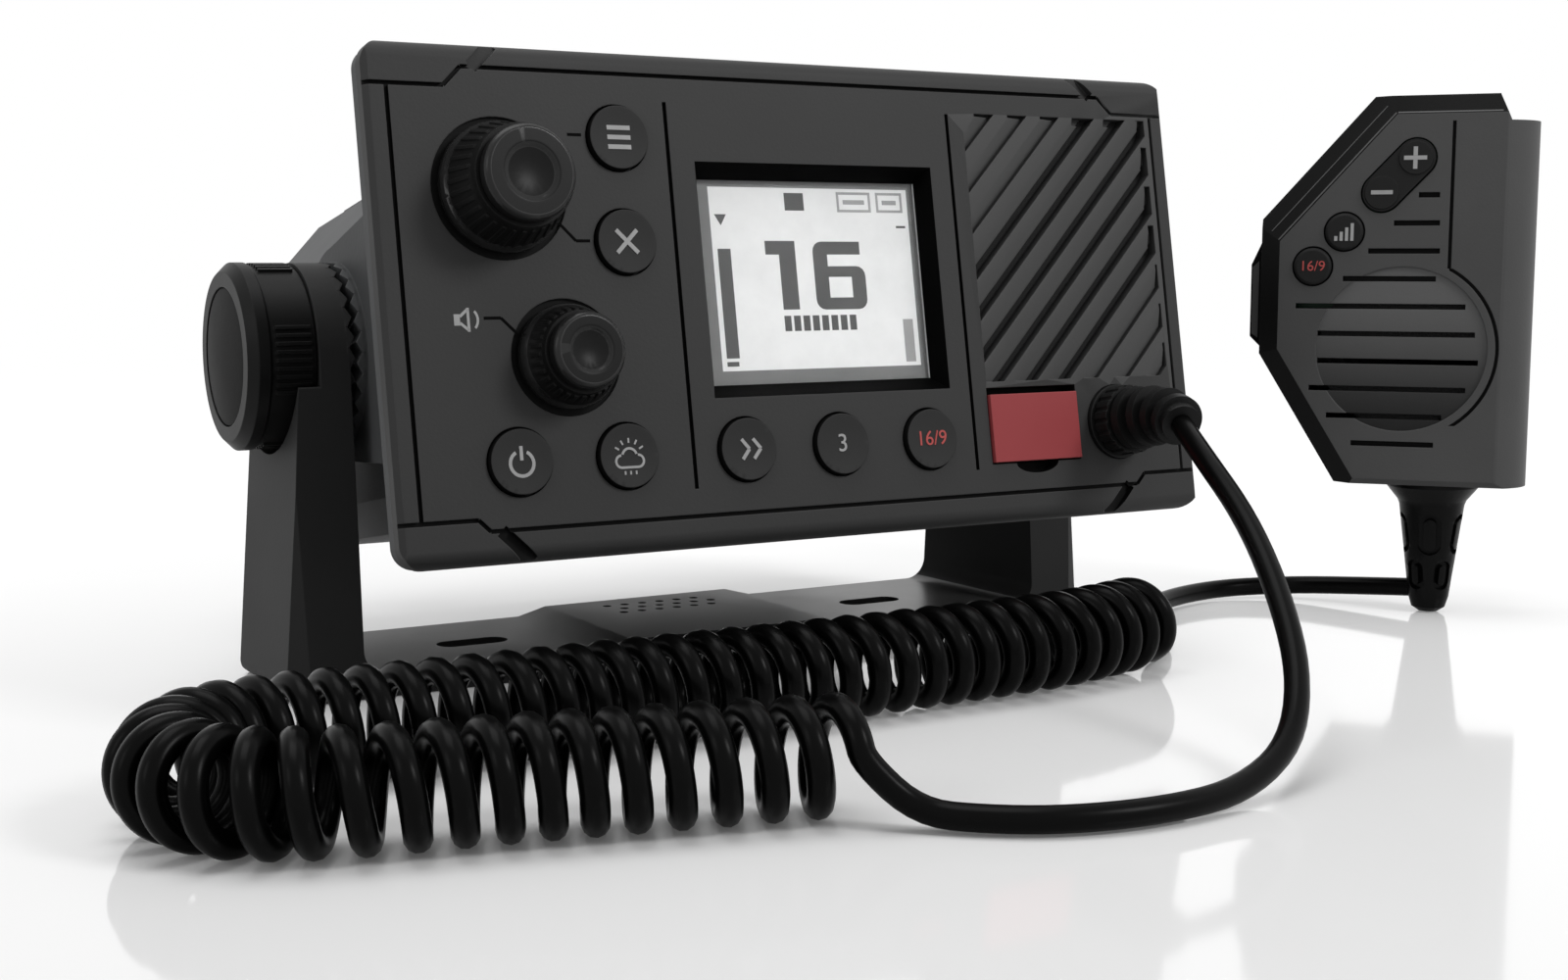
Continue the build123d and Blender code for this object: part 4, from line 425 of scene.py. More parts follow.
class Shader(Graph):
    """A material under construction, round its Principled shader."""

    def __init__(self, name: str) -> None:
        """Makes the material with an empty Principled shader.

        Args:
            name: The material's name.
        """
        self.material = bpy.data.materials.new(name)
        self.material.use_nodes = True
        super().__init__(self.material.node_tree)
        self.body = self.tree.nodes["Principled BSDF"]

    def set(self, **values: float | tuple[float, float, float, float]) -> None:
        """Sets inputs of the Principled shader, named with _ for a space."""
        for label, value in values.items():
            self.body.inputs[label.replace("_", " ")].default_value = value

    def coordinates(self) -> Socket:
        """Finds or makes the source of the piece's own coordinates, in metres.

        Returns:
            The coordinates.
        """
        found = self.tree.nodes.get("Texture Coordinate")
        node = found or self.add("ShaderNodeTexCoord")
        return node.outputs["Object"]

    def group(self, shared: SharedGroup, **values: float) -> bpy.types.NodeOutputs:
        """Places a shared group, fed with the piece's own coordinates.

        Args:
            shared: The group.
            values: The group's number inputs.

        Returns:
            The group's outputs.
        """
        node = self.add("ShaderNodeGroup")
        node.node_tree = shared.tree()
        for label, value in values.items():
            node.inputs[label].default_value = value
        self.link(self.coordinates(), node.inputs["Vector"])
        return node.outputs

    def tint(self, mask: Socket, low: Socket | str, high: Socket | str) -> Socket:
        """Feeds the base colour with a blend of two colours.

        Args:
            mask: The blend's mask.
            low: The colour at 0.
            high: The colour at 1.

        Returns:
            The blended colour.
        """
        colour = self.blend(mask, low, high)
        self.link(colour, self.body.inputs["Base Color"])
        return colour

    def paint_edge_sheen(self, colour: Socket, edge_sheen: str) -> Socket:
        """Lays a paler line along the corners over the base colour: a painted highlight, broken up
        like light wear.

        Args:
            colour: The colour of the untouched surface.
            edge_sheen: The colour of the painted highlight on a corner.

        Returns:
            The normal of the softly rounded corners.
        """
        sheen = self.group(EDGE_SHEEN, Radius=0.0003)
        self.tint(sheen["Mask"], colour, edge_sheen)
        return sheen["Normal"]

    def roughen(self, mask: Socket, low: float, high: float) -> None:
        """Feeds the roughness with a mask scaled to a range.

        Args:
            mask: The mask.
            low: The roughness at 0.
            high: The roughness at 1.
        """
        spread = self.ranged(mask, To_Min=low, To_Max=high)
        self.link(spread, self.body.inputs["Roughness"])

    def emboss(
        self, height: Socket, depth: float, strength: float, under: Socket | None = None
    ) -> None:
        """Feeds the normal with a bump.

        Args:
            height: The relief.
            depth: The relief's depth in metres.
            strength: The bump's strength.
            under: The normal that the relief lies on, if it isn't the surface's own.
        """
        bump = self.add("ShaderNodeBump", Strength=strength, Distance=depth)
        if under:
            self.link(under, bump.inputs["Normal"])
        self.link(height, bump.inputs["Height"])
        self.link(bump.outputs["Normal"], self.body.inputs["Normal"])


# ---- Finishes ----------------------------------------------------------------------------
@dataclass(frozen=True)
class Finish:
    """A material that is built on its first use."""

    name: str

    def build(self) -> bpy.types.Material:
        """Finds or makes the material.

        Returns:
            The material.
        """
        found = bpy.data.materials.get(self.name)
        if found:
            return found
        shader = Shader(self.name)
        self.lay(shader)
        return shader.material

    def lay(self, shader: Shader) -> None:
        """Joins up the finish's nodes."""
        raise NotImplementedError(self.name)


@dataclass(frozen=True)
class Relief:
    """The grain of a moulded surface: its scale, its depth in metres and its strength."""

    scale: float
    depth: float
    strength: float


PLAIN = Relief(1500.0, 0.00004, 0.35)
MATT = Relief(1500.0, 0.00005, 0.4)
SPARKED = Relief(1700.0, 0.00005, 0.4)
SATIN = Relief(2200.0, 0.00003, 0.3)
POLISHED = Relief(2600.0, 0.00001, 0.1)
COARSE = Relief(1500.0, 0.00006, 0.5)
SANDY = Relief(1400.0, 0.00004, 0.4)
WORN_FLAT = Relief(1400.0, 0.00003, 0.3)


@dataclass(frozen=True)
class Moulding(Finish):
    """Moulded plastic or rubber with a grain."""

    dark: str
    light: str
    rough: Point
    relief: Relief = PLAIN
    specular: float = 0.2
    coat: float = 0.0
    # The colour of the painted highlight along the corners, broken up like light wear; none if
    # empty.
    edge_sheen: str = ""

    def lay(self, shader: Shader) -> None:
        """Joins up handling marks, the painted highlight along the corners and the grain.

        Args:
            shader: The material under construction.
        """
        marks = shader.group(HANDLING, Size=22.0, Contrast=1.6)["Mask"]
        grain = shader.group(GRAIN, Size=self.relief.scale, Softness=0.45)
        colour = shader.tint(marks, self.dark, self.light)
        under = shader.paint_edge_sheen(colour, self.edge_sheen) if self.edge_sheen else None
        shader.roughen(marks, *self.rough)
        shader.emboss(grain["Height"], self.relief.depth, self.relief.strength, under)
        shader.set(Specular_IOR_Level=self.specular, Coat_Weight=self.coat, Coat_Roughness=0.08)


@dataclass(frozen=True)
class PaintedShadeField(Moulding):
    """Moulded plastic with painted shade: darker towards its foot, its own colour towards its brow.
    """

    foot: float = 0.04
    brow: float = 0.07
    # The colour of the painted shade at the foot.
    painted_shade: str = "1c1c1c"

    def lay(self, shader: Shader) -> None:
        """Paints shade on the moulding, darkest at its foot and fading out at its brow, both
        heights in metres.

        Args:
            shader: The material under construction.
        """
        super().lay(shader)
        colour = shader.body.inputs["Base Color"].links[0].from_socket
        split = shader.add("ShaderNodeSeparateXYZ")
        shader.link(shader.coordinates(), split.inputs[0])
        lit_share = shader.ranged(split.outputs["Z"], True, From_Min=self.foot, From_Max=self.brow)
        shader.tint(lit_share, self.painted_shade, colour)


@dataclass(frozen=True)
class Metal(Finish):
    """Bare or plated metal with fine turning or brushing lines."""

    dark: str
    light: str
    rough: Point = (0.22, 0.38)
    lines: Relief = Relief(3500.0, 0.00001, 0.2)

    def lay(self, shader: Shader) -> None:
        """Joins up handling marks and the fine lines.

        Args:
            shader: The material under construction.
        """
        marks = shader.group(HANDLING, Size=90.0, Contrast=2.0)
        grain = shader.group(GRAIN, Size=self.lines.scale, Softness=0.8)
        shader.tint(marks["Mask"], self.dark, self.light)
        shader.roughen(grain["Speckle"], *self.rough)
        shader.emboss(grain["Height"], self.lines.depth, self.lines.strength)
        shader.set(Metallic=1.0)


@dataclass(frozen=True)
class Lens(Finish):
    """The display's clear window."""

    def lay(self, shader: Shader) -> None:
        """Makes a clear body with faint wiping marks.

        Args:
            shader: The material under construction.
        """
        marks = shader.group(HANDLING, Size=60.0, Contrast=1.2)["Mask"]
        shader.tint(marks, "f2f4f4", "ffffff")
        shader.roughen(marks, 0.03, 0.07)
        shader.set(Transmission_Weight=1.0, IOR=1.12)


@dataclass(frozen=True)
class Lit(Finish):
    """A printed surface that shows its colour plainly, with a weak emission that is painted light.
    """

    dark: str
    light: str
    painted_glow: float = 0.0
    rough: float = 0.5
    specular: float = 0.3

    def lay(self, shader: Shader) -> None:
        """Joins up a faint mottle and the painted glow.

        Args:
            shader: The material under construction.
        """
        marks = shader.group(HANDLING, Size=180.0, Contrast=1.5)["Mask"]
        shader.tint(marks, self.dark, self.light)
        shader.roughen(marks, self.rough, self.rough + 0.08)
        shader.set(
            Specular_IOR_Level=self.specular,
            Emission_Color=linear(self.light),
            Emission_Strength=self.painted_glow,
        )


@dataclass(frozen=True)
class Weave(Finish):
    """The loudspeaker's open cloth."""

    def lay(self, shader: Shader) -> None:
        """Crosses two sets of threads.

        Args:
            shader: The material under construction.
        """
        threads = [shader.add("ShaderNodeTexWave", Scale=900.0) for _ in range(2)]
        threads[1].bands_direction = "Z"
        for thread in threads:
            shader.link(shader.coordinates(), thread.inputs["Vector"])
        weave = shader.maths("MULTIPLY", *(thread.outputs["Fac"] for thread in threads))
        shader.tint(weave.outputs[0], "050505", "161616")
        shader.emboss(weave.outputs[0], 0.0001, 0.6)
        shader.set(Roughness=0.85)


# The radio
CHARCOAL = Moulding(
    "charcoal_case", "343434", "3b3b3b", (0.46, 0.6), SPARKED, 0.18, edge_sheen="5e5e5e"
)
# The louvres' fronts: a lighter grey than the case, painted light on their angled faces.
RIB_PAINTED_LIGHT = Moulding("rib_painted_light", "484848", "505050", (0.46, 0.6), SPARKED, 0.18, edge_sheen="666666")
# Near-black painted shade in the seams, slots, key holes, the pocket behind the flap and round the
# keys' walls.
RECESS_SHADE = Moulding(
    "recess_painted_shade", "0b0b0b", "111111", (0.5, 0.62), Relief(1700.0, 0.00003, 0.3), 0.08
)
WALL_BLACK = Moulding("display_wall", "030303", "060606", (0.4, 0.5), POLISHED, 0.02)
CASTING = Moulding(
    "powder_coat", "48494a", "545556", (0.5, 0.66), Relief(900.0, 0.00007, 0.5), edge_sheen="606060"
)
GASKET = Moulding("gasket_rubber", "0e0e0e", "151515", (0.6, 0.75), specular=0.1)
KEY_RUBBER = Moulding("key_rubber", "2c2c2c", "333333", (0.5, 0.62), SATIN, 0.15)
KNOB_BLACK = Moulding("knob_black", "0c0c0c", "121212", (0.38, 0.5), SATIN, 0.12, edge_sheen="2c2c2c")
KNOB_GLOSS = Moulding(
    "knob_gloss", "1e1e1e", "252525", (0.24, 0.34), POLISHED, 0.15, 0.1, "8a8a8a"
)
KNOB_DISH = Moulding("knob_dish", "121212", "181818", (0.3, 0.4), POLISHED, 0.12, edge_sheen="7a7a7a")
KNOB_RIM = Moulding(
    "knob_rim", "181818", "202020", (0.12, 0.2), Relief(2600.0, 0.00001, 0.08), 0.6, 0.3
)
FLAP_RED = Moulding(
    "flap_red", "9a3f42", "a6484b", (0.38, 0.5), Relief(2400.0, 0.00002, 0.2), edge_sheen="c06a6a"
)
ALARM_RED = Moulding("alarm_red", "a03034", "b03a3c", (0.5, 0.6))
SOFT_BLACK = Moulding(
    "soft_black", "101010", "171717", (0.4, 0.55), Relief(1900.0, 0.00004, 0.35), 0.15
)
JACKET = Moulding(
    "cord_jacket", "040404", "070707", (0.24, 0.34), Relief(800.0, 0.00003, 0.2), 0.06
)
BOARD = Moulding(
    "circuit_board", "0c3a22", "124a2c", (0.3, 0.45), Relief(700.0, 0.00005, 0.3)
)
CERAMIC = Moulding("ceramic", "b9a988", "c9ba9a", (0.4, 0.5))
SPEAKER = Moulding("speaker_cone", "0f0f0f", "191919", (0.6, 0.75))
STEEL = Metal("steel", "8e8e8e", "a8a8a8")
BRASS = Metal("brass", "9c7a44", "b8935a")
NICKEL = Metal("nickel", "a8a6a0", "c4c2bc", (0.14, 0.26))
CLOTH = Weave("speaker_cloth")

# The bracket
BRACKET = Moulding(
    "bracket_plastic", "2b2b2b", "353535", (0.5, 0.62), SANDY, 0.1, edge_sheen="4c4c4c"
)
# The base plate's top: its lighter colour is a painted reflection of the bright surroundings.
LIT_PLATE = Moulding(
    "bracket_plate_painted_reflection", "3c3c3c", "464646", (0.26, 0.36), WORN_FLAT, 0.35, edge_sheen="666666"
)
DISC_BLACK = Moulding(
    "disc_black", "161616", "1d1d1d", (0.55, 0.7), Relief(1500.0, 0.00004, 0.4), 0.08
)

# The hand microphone
HANDSET = Moulding("handset_case", "4c4c4c", "575757", (0.44, 0.58), SPARKED, 0.18, edge_sheen="686868")
# The handset's round field: its lighter colour is painted light, with painted shade towards its
# lower edge.
SHADED_ROUND_FIELD = PaintedShadeField("round_field_painted_light_and_shade", "646464", "6e6e6e", (0.44, 0.58), SPARKED, 0.18, edge_sheen="707070")
MIC_KEYS = Moulding("mic_keys", "1e1e1e", "262626", (0.5, 0.62), SATIN, 0.12)
# Pale lines on the handset's bevels; those by the bevels' front edges are painted highlights.
BEVEL_LINE_AND_HIGHLIGHT = Moulding(
    "band_line_and_painted_highlight", "5c5c5c", "686868", (0.5, 0.62), Relief(1500.0, 0.00004, 0.3), 0.12
)
BAND_GREY = Moulding("band_grey", "363636", "424242", (0.5, 0.62), COARSE, 0.12)
TOP_BAND = Moulding("top_band", "101010", "181818", (0.5, 0.62), COARSE, 0.06)
# The talk key's black rubber; the same near-black on the handset's bevels beside and below the key
# is painted shade.
TALK_RUBBER_AND_SHADE = Moulding(
    "talk_rubber_and_painted_shade", "070707", "0c0c0c", (0.45, 0.6), Relief(2000.0, 0.00004, 0.3), 0.05
)
# A pale strip on the talk key's outer side: a painted reflection seen at a grazing angle.
TALK_PAINTED_REFLECTION = Moulding("talk_strip_painted_reflection", "4a4a4a", "545454", (0.5, 0.62), MATT, 0.15)
BOOT_BLACK = Moulding("boot_black", "060606", "0b0b0b", (0.28, 0.4), MATT, 0.08)

# The display and the print, which glow weakly as painted light
WINDOW = Lens("display_window")
SCREEN = Lit("display_ground", "e4e4e4", "f0f0f0", 0.12)
SCREEN_DARK = Lit("display_dark", "545454", "606060", 0.02)
SCREEN_EDGE = Lit("display_edge", "767676", "808080", 0.03)
SCREEN_PALE = Lit("display_pale", "9c9c9c", "a6a6a6", 0.04)
LEGEND = Lit("legend_grey", "9c9c9c", "b4b4b4", 0.05)
LEGEND_RED = Lit("legend_red", "b04a48", "c25a56", 0.05)
GROOVE = Lit("leader_line", "060606", "0a0a0a", 0.0, 0.6, 0.03)


class Dresser:
    """Gives each carried-over node its finish."""

    finishes = {
        CHARCOAL: ("front_bezel",),
        BRACKET: ("gimbal_bracket",),
        CASTING: ("rear_housing",),
        GASKET: ("housing_gasket", "power_gland", "mic_gasket", "keypad_mat"),
        WINDOW: ("lcd_window",),
        SCREEN: ("lcd_module",),
        BOARD: ("front_board", "main_board", "mic_board"),
        SPEAKER: ("loudspeaker", "mic_speaker"),
        CERAMIC: ("gps_antenna",),
        NICKEL: ("antenna_socket", "mic_element"),
        STEEL: (
            "housing_screws",
            "mic_screws",
            *(f"{side}_clamp_stud" for side in ("right", "left")),
            *(f"channel_{piece}" for piece in ("shaft", "plunger", "encoder")),
            *(f"volume_{piece}" for piece in ("shaft", "plunger", "encoder")),
        ),
        BRASS: ("pivot_inserts",),
        KNOB_BLACK: ("channel_knob", "volume_knob", "left_clamp_knob", "right_clamp_knob"),
        KNOB_GLOSS: ("channel_knob_cap", "volume_knob_cap"),
        KEY_RUBBER: FACE_KEYS,
        MIC_KEYS: HANDSET_KEYS,
        SOFT_BLACK: ("mic_socket", "plug_body", "plug_nut", "plug_boot", "mic_hanger_stud"),
        DISC_BLACK: ("left_clamp_cap", "right_clamp_cap"),
        BOOT_BLACK: ("mic_boot",),
        FLAP_RED: ("distress_flap",),
        ALARM_RED: ("distress_key",),
        HANDSET: ("mic_front_shell", "mic_rear_shell"),
        TALK_RUBBER_AND_SHADE: ("mic_talk_key",),
        JACKET: ("coil_cord", "lead_plug_end", "lead_mic_end"),
    }

    def dress(self) -> None:
        """Puts every finish on its nodes."""
        for finish, names in self.finishes.items():
            material = finish.build()
            for name in names:
                node = frame["nodes"][name]
                node.data.materials.clear()
                node.data.materials.append(material)
            log.info("%s on %d nodes", material.name, len(names))


# ---- Soft edges --------------------------------------------------------------------------
@dataclass(frozen=True)
class Zone:
    """Part of a moulding that is made or painted in another finish."""

    finish: Moulding
    place: Place
    holds: Callable[[Vector, Vector], bool]

    def takes(self, face: bmesh.types.BMFace) -> bool:
        """Whether a face lies in the zone.

        Args:
            face: The face, in the part's metres.

        Returns:
            True if the zone's test holds for its middle and its normal.
        """
        back = self.place.matrix().inverted()
        normal = (back.to_3x3() @ face.normal).normalized()
        return self.holds(back @ face.calc_center_median(), normal)


# Areas of the face: inside its rim, the display's mouth, the recess of the louvres, the
# louvres' fronts, and the pocket and finger notch behind the flap.
PANEL = Area(1.6, 159.4, 1.6, 80.4)
MOUTH = Area(56.5, 105.1, 24.6, 65.4)
RECESS = Area(111.5, 158.0, 24.5, 77.0)
RIBS = Area(112.5, 157.0, 25.2, 76.4)
NOTCH = Area(111.8, 134.5, 6.0, 25.2)
# The part of the handset's front with its slots, seam and keys.
SLOTTED = Area(-31.0, 11.6, 33.0, 106.0)
# Where the handset's left side turns from the talk key's bevel into the broad one.
BAND_FOOT = 84.0


def on_plate(at: Vector, normal: Vector) -> bool:
    """The top of the bracket's base plate."""
    return normal.z > 0.8 and at.z < 14.0


def in_mouth(at: Vector, normal: Vector) -> bool:
    """The sloped walls of the display's opening."""
    return MOUTH.holds(at) and at.z < -0.05


def in_seam(at: Vector, normal: Vector) -> bool:
    """The floors and walls of the seams, corner slots and key holes of the face."""
    clear = PANEL.holds(at) and not RECESS.holds(at) and not in_mouth(at, normal)
    return clear and -2.2 < at.z < -0.3


def in_shaded_bevel(at: Vector, normal: Vector) -> bool:
    """The handset's bevels beside the talk key and below it, which take near-black painted shade.
    """
    return normal.x < -0.25 and normal.z > 0.1 and at.y < BAND_FOOT and at.z > 5.0


def in_grey_band(at: Vector, normal: Vector) -> bool:
    """The handset's broad bevel at the upper left."""
    return normal.x < -0.2 and normal.z > 0.1 and at.y > BAND_FOOT and at.z > 5.0


def in_top_bevel(at: Vector, normal: Vector) -> bool:
    """The handset's bevel along its top."""
    return normal.y > 0.3 and abs(normal.x) < 0.2 and normal.z > 0.1 and at.y > 104.0


def in_slot(at: Vector, normal: Vector) -> bool:
    """The floors and walls of the handset's slots, seam and key holes."""
    brink = 11.3 if normal.z > 0.9 else 11.65
    return SLOTTED.holds(at) and 9.0 < at.z < brink


def in_round(at: Vector, normal: Vector) -> bool:
    """The floor of the handset's round field."""
    away = math.hypot(at.x - MIC_SPEAKER_AT[0], at.y - MIC_SPEAKER_AT[1])
    return normal.z > 0.9 and 11.35 < at.z < 11.65 and away < 17.5


def on_rib(at: Vector, normal: Vector) -> bool:
    """The fronts of the louvres."""
    return RIBS.holds(at) and normal.z > 0.6 and at.z > -1.2


def in_notch(at: Vector, normal: Vector) -> bool:
    """The pocket and the finger notch behind the flap."""
    return NOTCH.holds(at) and at.z < -0.3


def on_wall(at: Vector, normal: Vector) -> bool:
    """The upright wall of a key or of a knob's cap."""
    return abs(normal.z) < 0.3


# Zones: the near-black ones in recesses and on the handset's bevels beside and below the talk key
# are painted shade; the louvres' fronts and the round field are lighter as painted light, and the
# plate's top as a painted reflection.
ZONES = {
    "gimbal_bracket": (Zone(LIT_PLATE, Place.WORLD, on_plate),),
    "front_bezel": (
        Zone(WALL_BLACK, Place.FACE, in_mouth),
        Zone(RECESS_SHADE, Place.FACE, in_notch),
        Zone(RECESS_SHADE, Place.FACE, in_seam),
        Zone(RIB_PAINTED_LIGHT, Place.FACE, on_rib),
    ),
    "mic_front_shell": (
        Zone(SHADED_ROUND_FIELD, Place.HANDSET, in_round),
        Zone(RECESS_SHADE, Place.HANDSET, in_slot),
        Zone(TALK_RUBBER_AND_SHADE, Place.HANDSET, in_shaded_bevel),
        Zone(BAND_GREY, Place.HANDSET, in_grey_band),
        Zone(TOP_BAND, Place.HANDSET, in_top_bevel),
    ),
    **dict.fromkeys(FACE_KEYS, (Zone(RECESS_SHADE, Place.FACE, on_wall),)),
    **dict.fromkeys(HANDSET_KEYS, (Zone(RECESS_SHADE, Place.HANDSET, on_wall),)),
    **{
        name: (Zone(KNOB_RIM, Place.FACE, knob.on_rim),)
        for name, knob in (("channel_knob", CHANNEL_KNOB), ("volume_knob", VOLUME_KNOB))
    },
    **{
        name: (Zone(KNOB_DISH, Place.FACE, knob.in_dish), Zone(KNOB_BLACK, Place.FACE, on_wall))
        for name, knob in (("channel_knob_cap", CHANNEL_KNOB), ("volume_knob_cap", VOLUME_KNOB))
    },
}


@dataclass
class SoftEdges:
    """Copies of the rigid parts whose edges carry the small round of a mould.

    The edges of the louvres keep their own shape and stay out of the round.
    """

    widths: dict[str, float] = field(
        default_factory=lambda: {
            "front_bezel": 0.22,
            "gimbal_bracket": 0.45,
            "rear_housing": 0.4,
            "mic_front_shell": 0.35,
            "mic_rear_shell": 0.35,
            "mic_boot": 0.25,
            "mic_talk_key": 0.25,
            "distress_flap": 0.18,
            "channel_knob": 0.18,
            "volume_knob": 0.18,
            "channel_knob_cap": 0.3,
            "volume_knob_cap": 0.3,
            "left_clamp_knob": 0.25,
            "right_clamp_knob": 0.25,
            "left_clamp_cap": 0.25,
            "right_clamp_cap": 0.25,
            "plug_boot": 0.25,
            "plug_nut": 0.2,
            "mic_socket": 0.15,
            **dict.fromkeys(FACE_KEYS + HANDSET_KEYS, 0.2),
        }
    )
    louvred: str = "front_bezel"
    louvres: Area = Area(111.8, 157.6, 24.6, 76.9)
    sharp: float = math.radians(32.0)
    flat: float = math.radians(1.0)
    weld: float = 2e-6
    segments: int = 2

    def build(self) -> None:
        """Makes a rounded copy of every listed node."""
        for name, width in self.widths.items():
            self.soften(name, width)

    def _prepare(self, mesh: bmesh.types.BMesh, kept: set[bmesh.types.BMVert]) -> None:
        """Joins flat faces and marks the edges that get a round.

        Args:
            mesh: The copy under construction.
            kept: The corners whose faces and edges stay as they are.
        """
        bmesh.ops.dissolve_limit(
            mesh,
            angle_limit=self.flat,
            use_dissolve_boundaries=False,
            verts=[v for v in mesh.verts if v not in kept],
            edges=[e for e in mesh.edges if not kept.intersection(e.verts)],
            delimit=set(),
        )
        chosen = mesh.edges.layers.float.new("bevel_weight_edge")
        for edge in mesh.edges:
            turned = len(edge.link_faces) == 2 and edge.calc_face_angle(0.0) > self.sharp
            if kept.intersection(edge.verts):
                edge.smooth = not turned
            elif turned:
                edge[chosen] = 1.0
        for face in mesh.faces:
            face.smooth = True
            face.material_index = 0

    def _paint(self, mesh: bmesh.types.BMesh, data: bpy.types.Mesh, zones: Sequence[Zone]) -> None:
        """Gives the faces of each zone its finish.

        Args:
            mesh: The copy under construction.
            data: The mesh that it becomes.
            zones: The zones, of which the first that holds a face takes it.
        """
        for zone in zones:
            data.materials.append(zone.finish.build())
        for face in mesh.faces:
            for index, zone in enumerate(zones):
                if zone.takes(face):
                    face.material_index = index + 1
                    break

    def _round(self, copy: bpy.types.Object, width: float) -> None:
        """Rounds the marked edges and evens out the shading.

        Args:
            copy: The copy.
            width: The round's width in millimetres.
        """
        bevel = copy.modifiers.new("mould_round", "BEVEL")
        bevel.width = width * MM
        bevel.segments = self.segments
        bevel.limit_method = "WEIGHT"
        bevel.use_clamp_overlap = True
        bevel.harden_normals = True
        bevel.miter_outer = "MITER_ARC"
        even = copy.modifiers.new("even_normals", "WEIGHTED_NORMAL")
        even.weight = 100
        even.keep_sharp = True

    def soften(self, name: str, width: float) -> None:
        """Makes one node's rounded copy, in the node's own finish.

        Args:
            name: The node.
            width: The round's width in millimetres.
        """
        node = frame["nodes"][name]
        mesh = bmesh.new()
        mesh.from_mesh(node.data)
        bmesh.ops.remove_doubles(mesh, verts=mesh.verts, dist=self.weld)
        kept = set()
        if name == self.louvred:
            back = Place.FACE.matrix().inverted()
            kept = {v for v in mesh.verts if self.louvres.holds(back @ v.co)}
        self._prepare(mesh, kept)
        data = bpy.data.meshes.new(f"{name}_soft")
        for material in node.data.materials:
            data.materials.append(material)
        self._paint(mesh, data, ZONES.get(name, ()))
        mesh.to_mesh(data)
        mesh.free()
        copy = add_object(f"{name}_soft", data)
        self._round(copy, width)
        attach(copy, node["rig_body"])
        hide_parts(name)
        log.info("%s: %d faces before its round", copy.name, len(data.polygons))


# ---- Making pieces -----------------------------------------------------------------------
# The height of a numeral, as a share of the font's size.
NUMERAL_SHARE = 0.73
# The turn of one step of an arc, in degrees.
ARC_STEP = 12.0


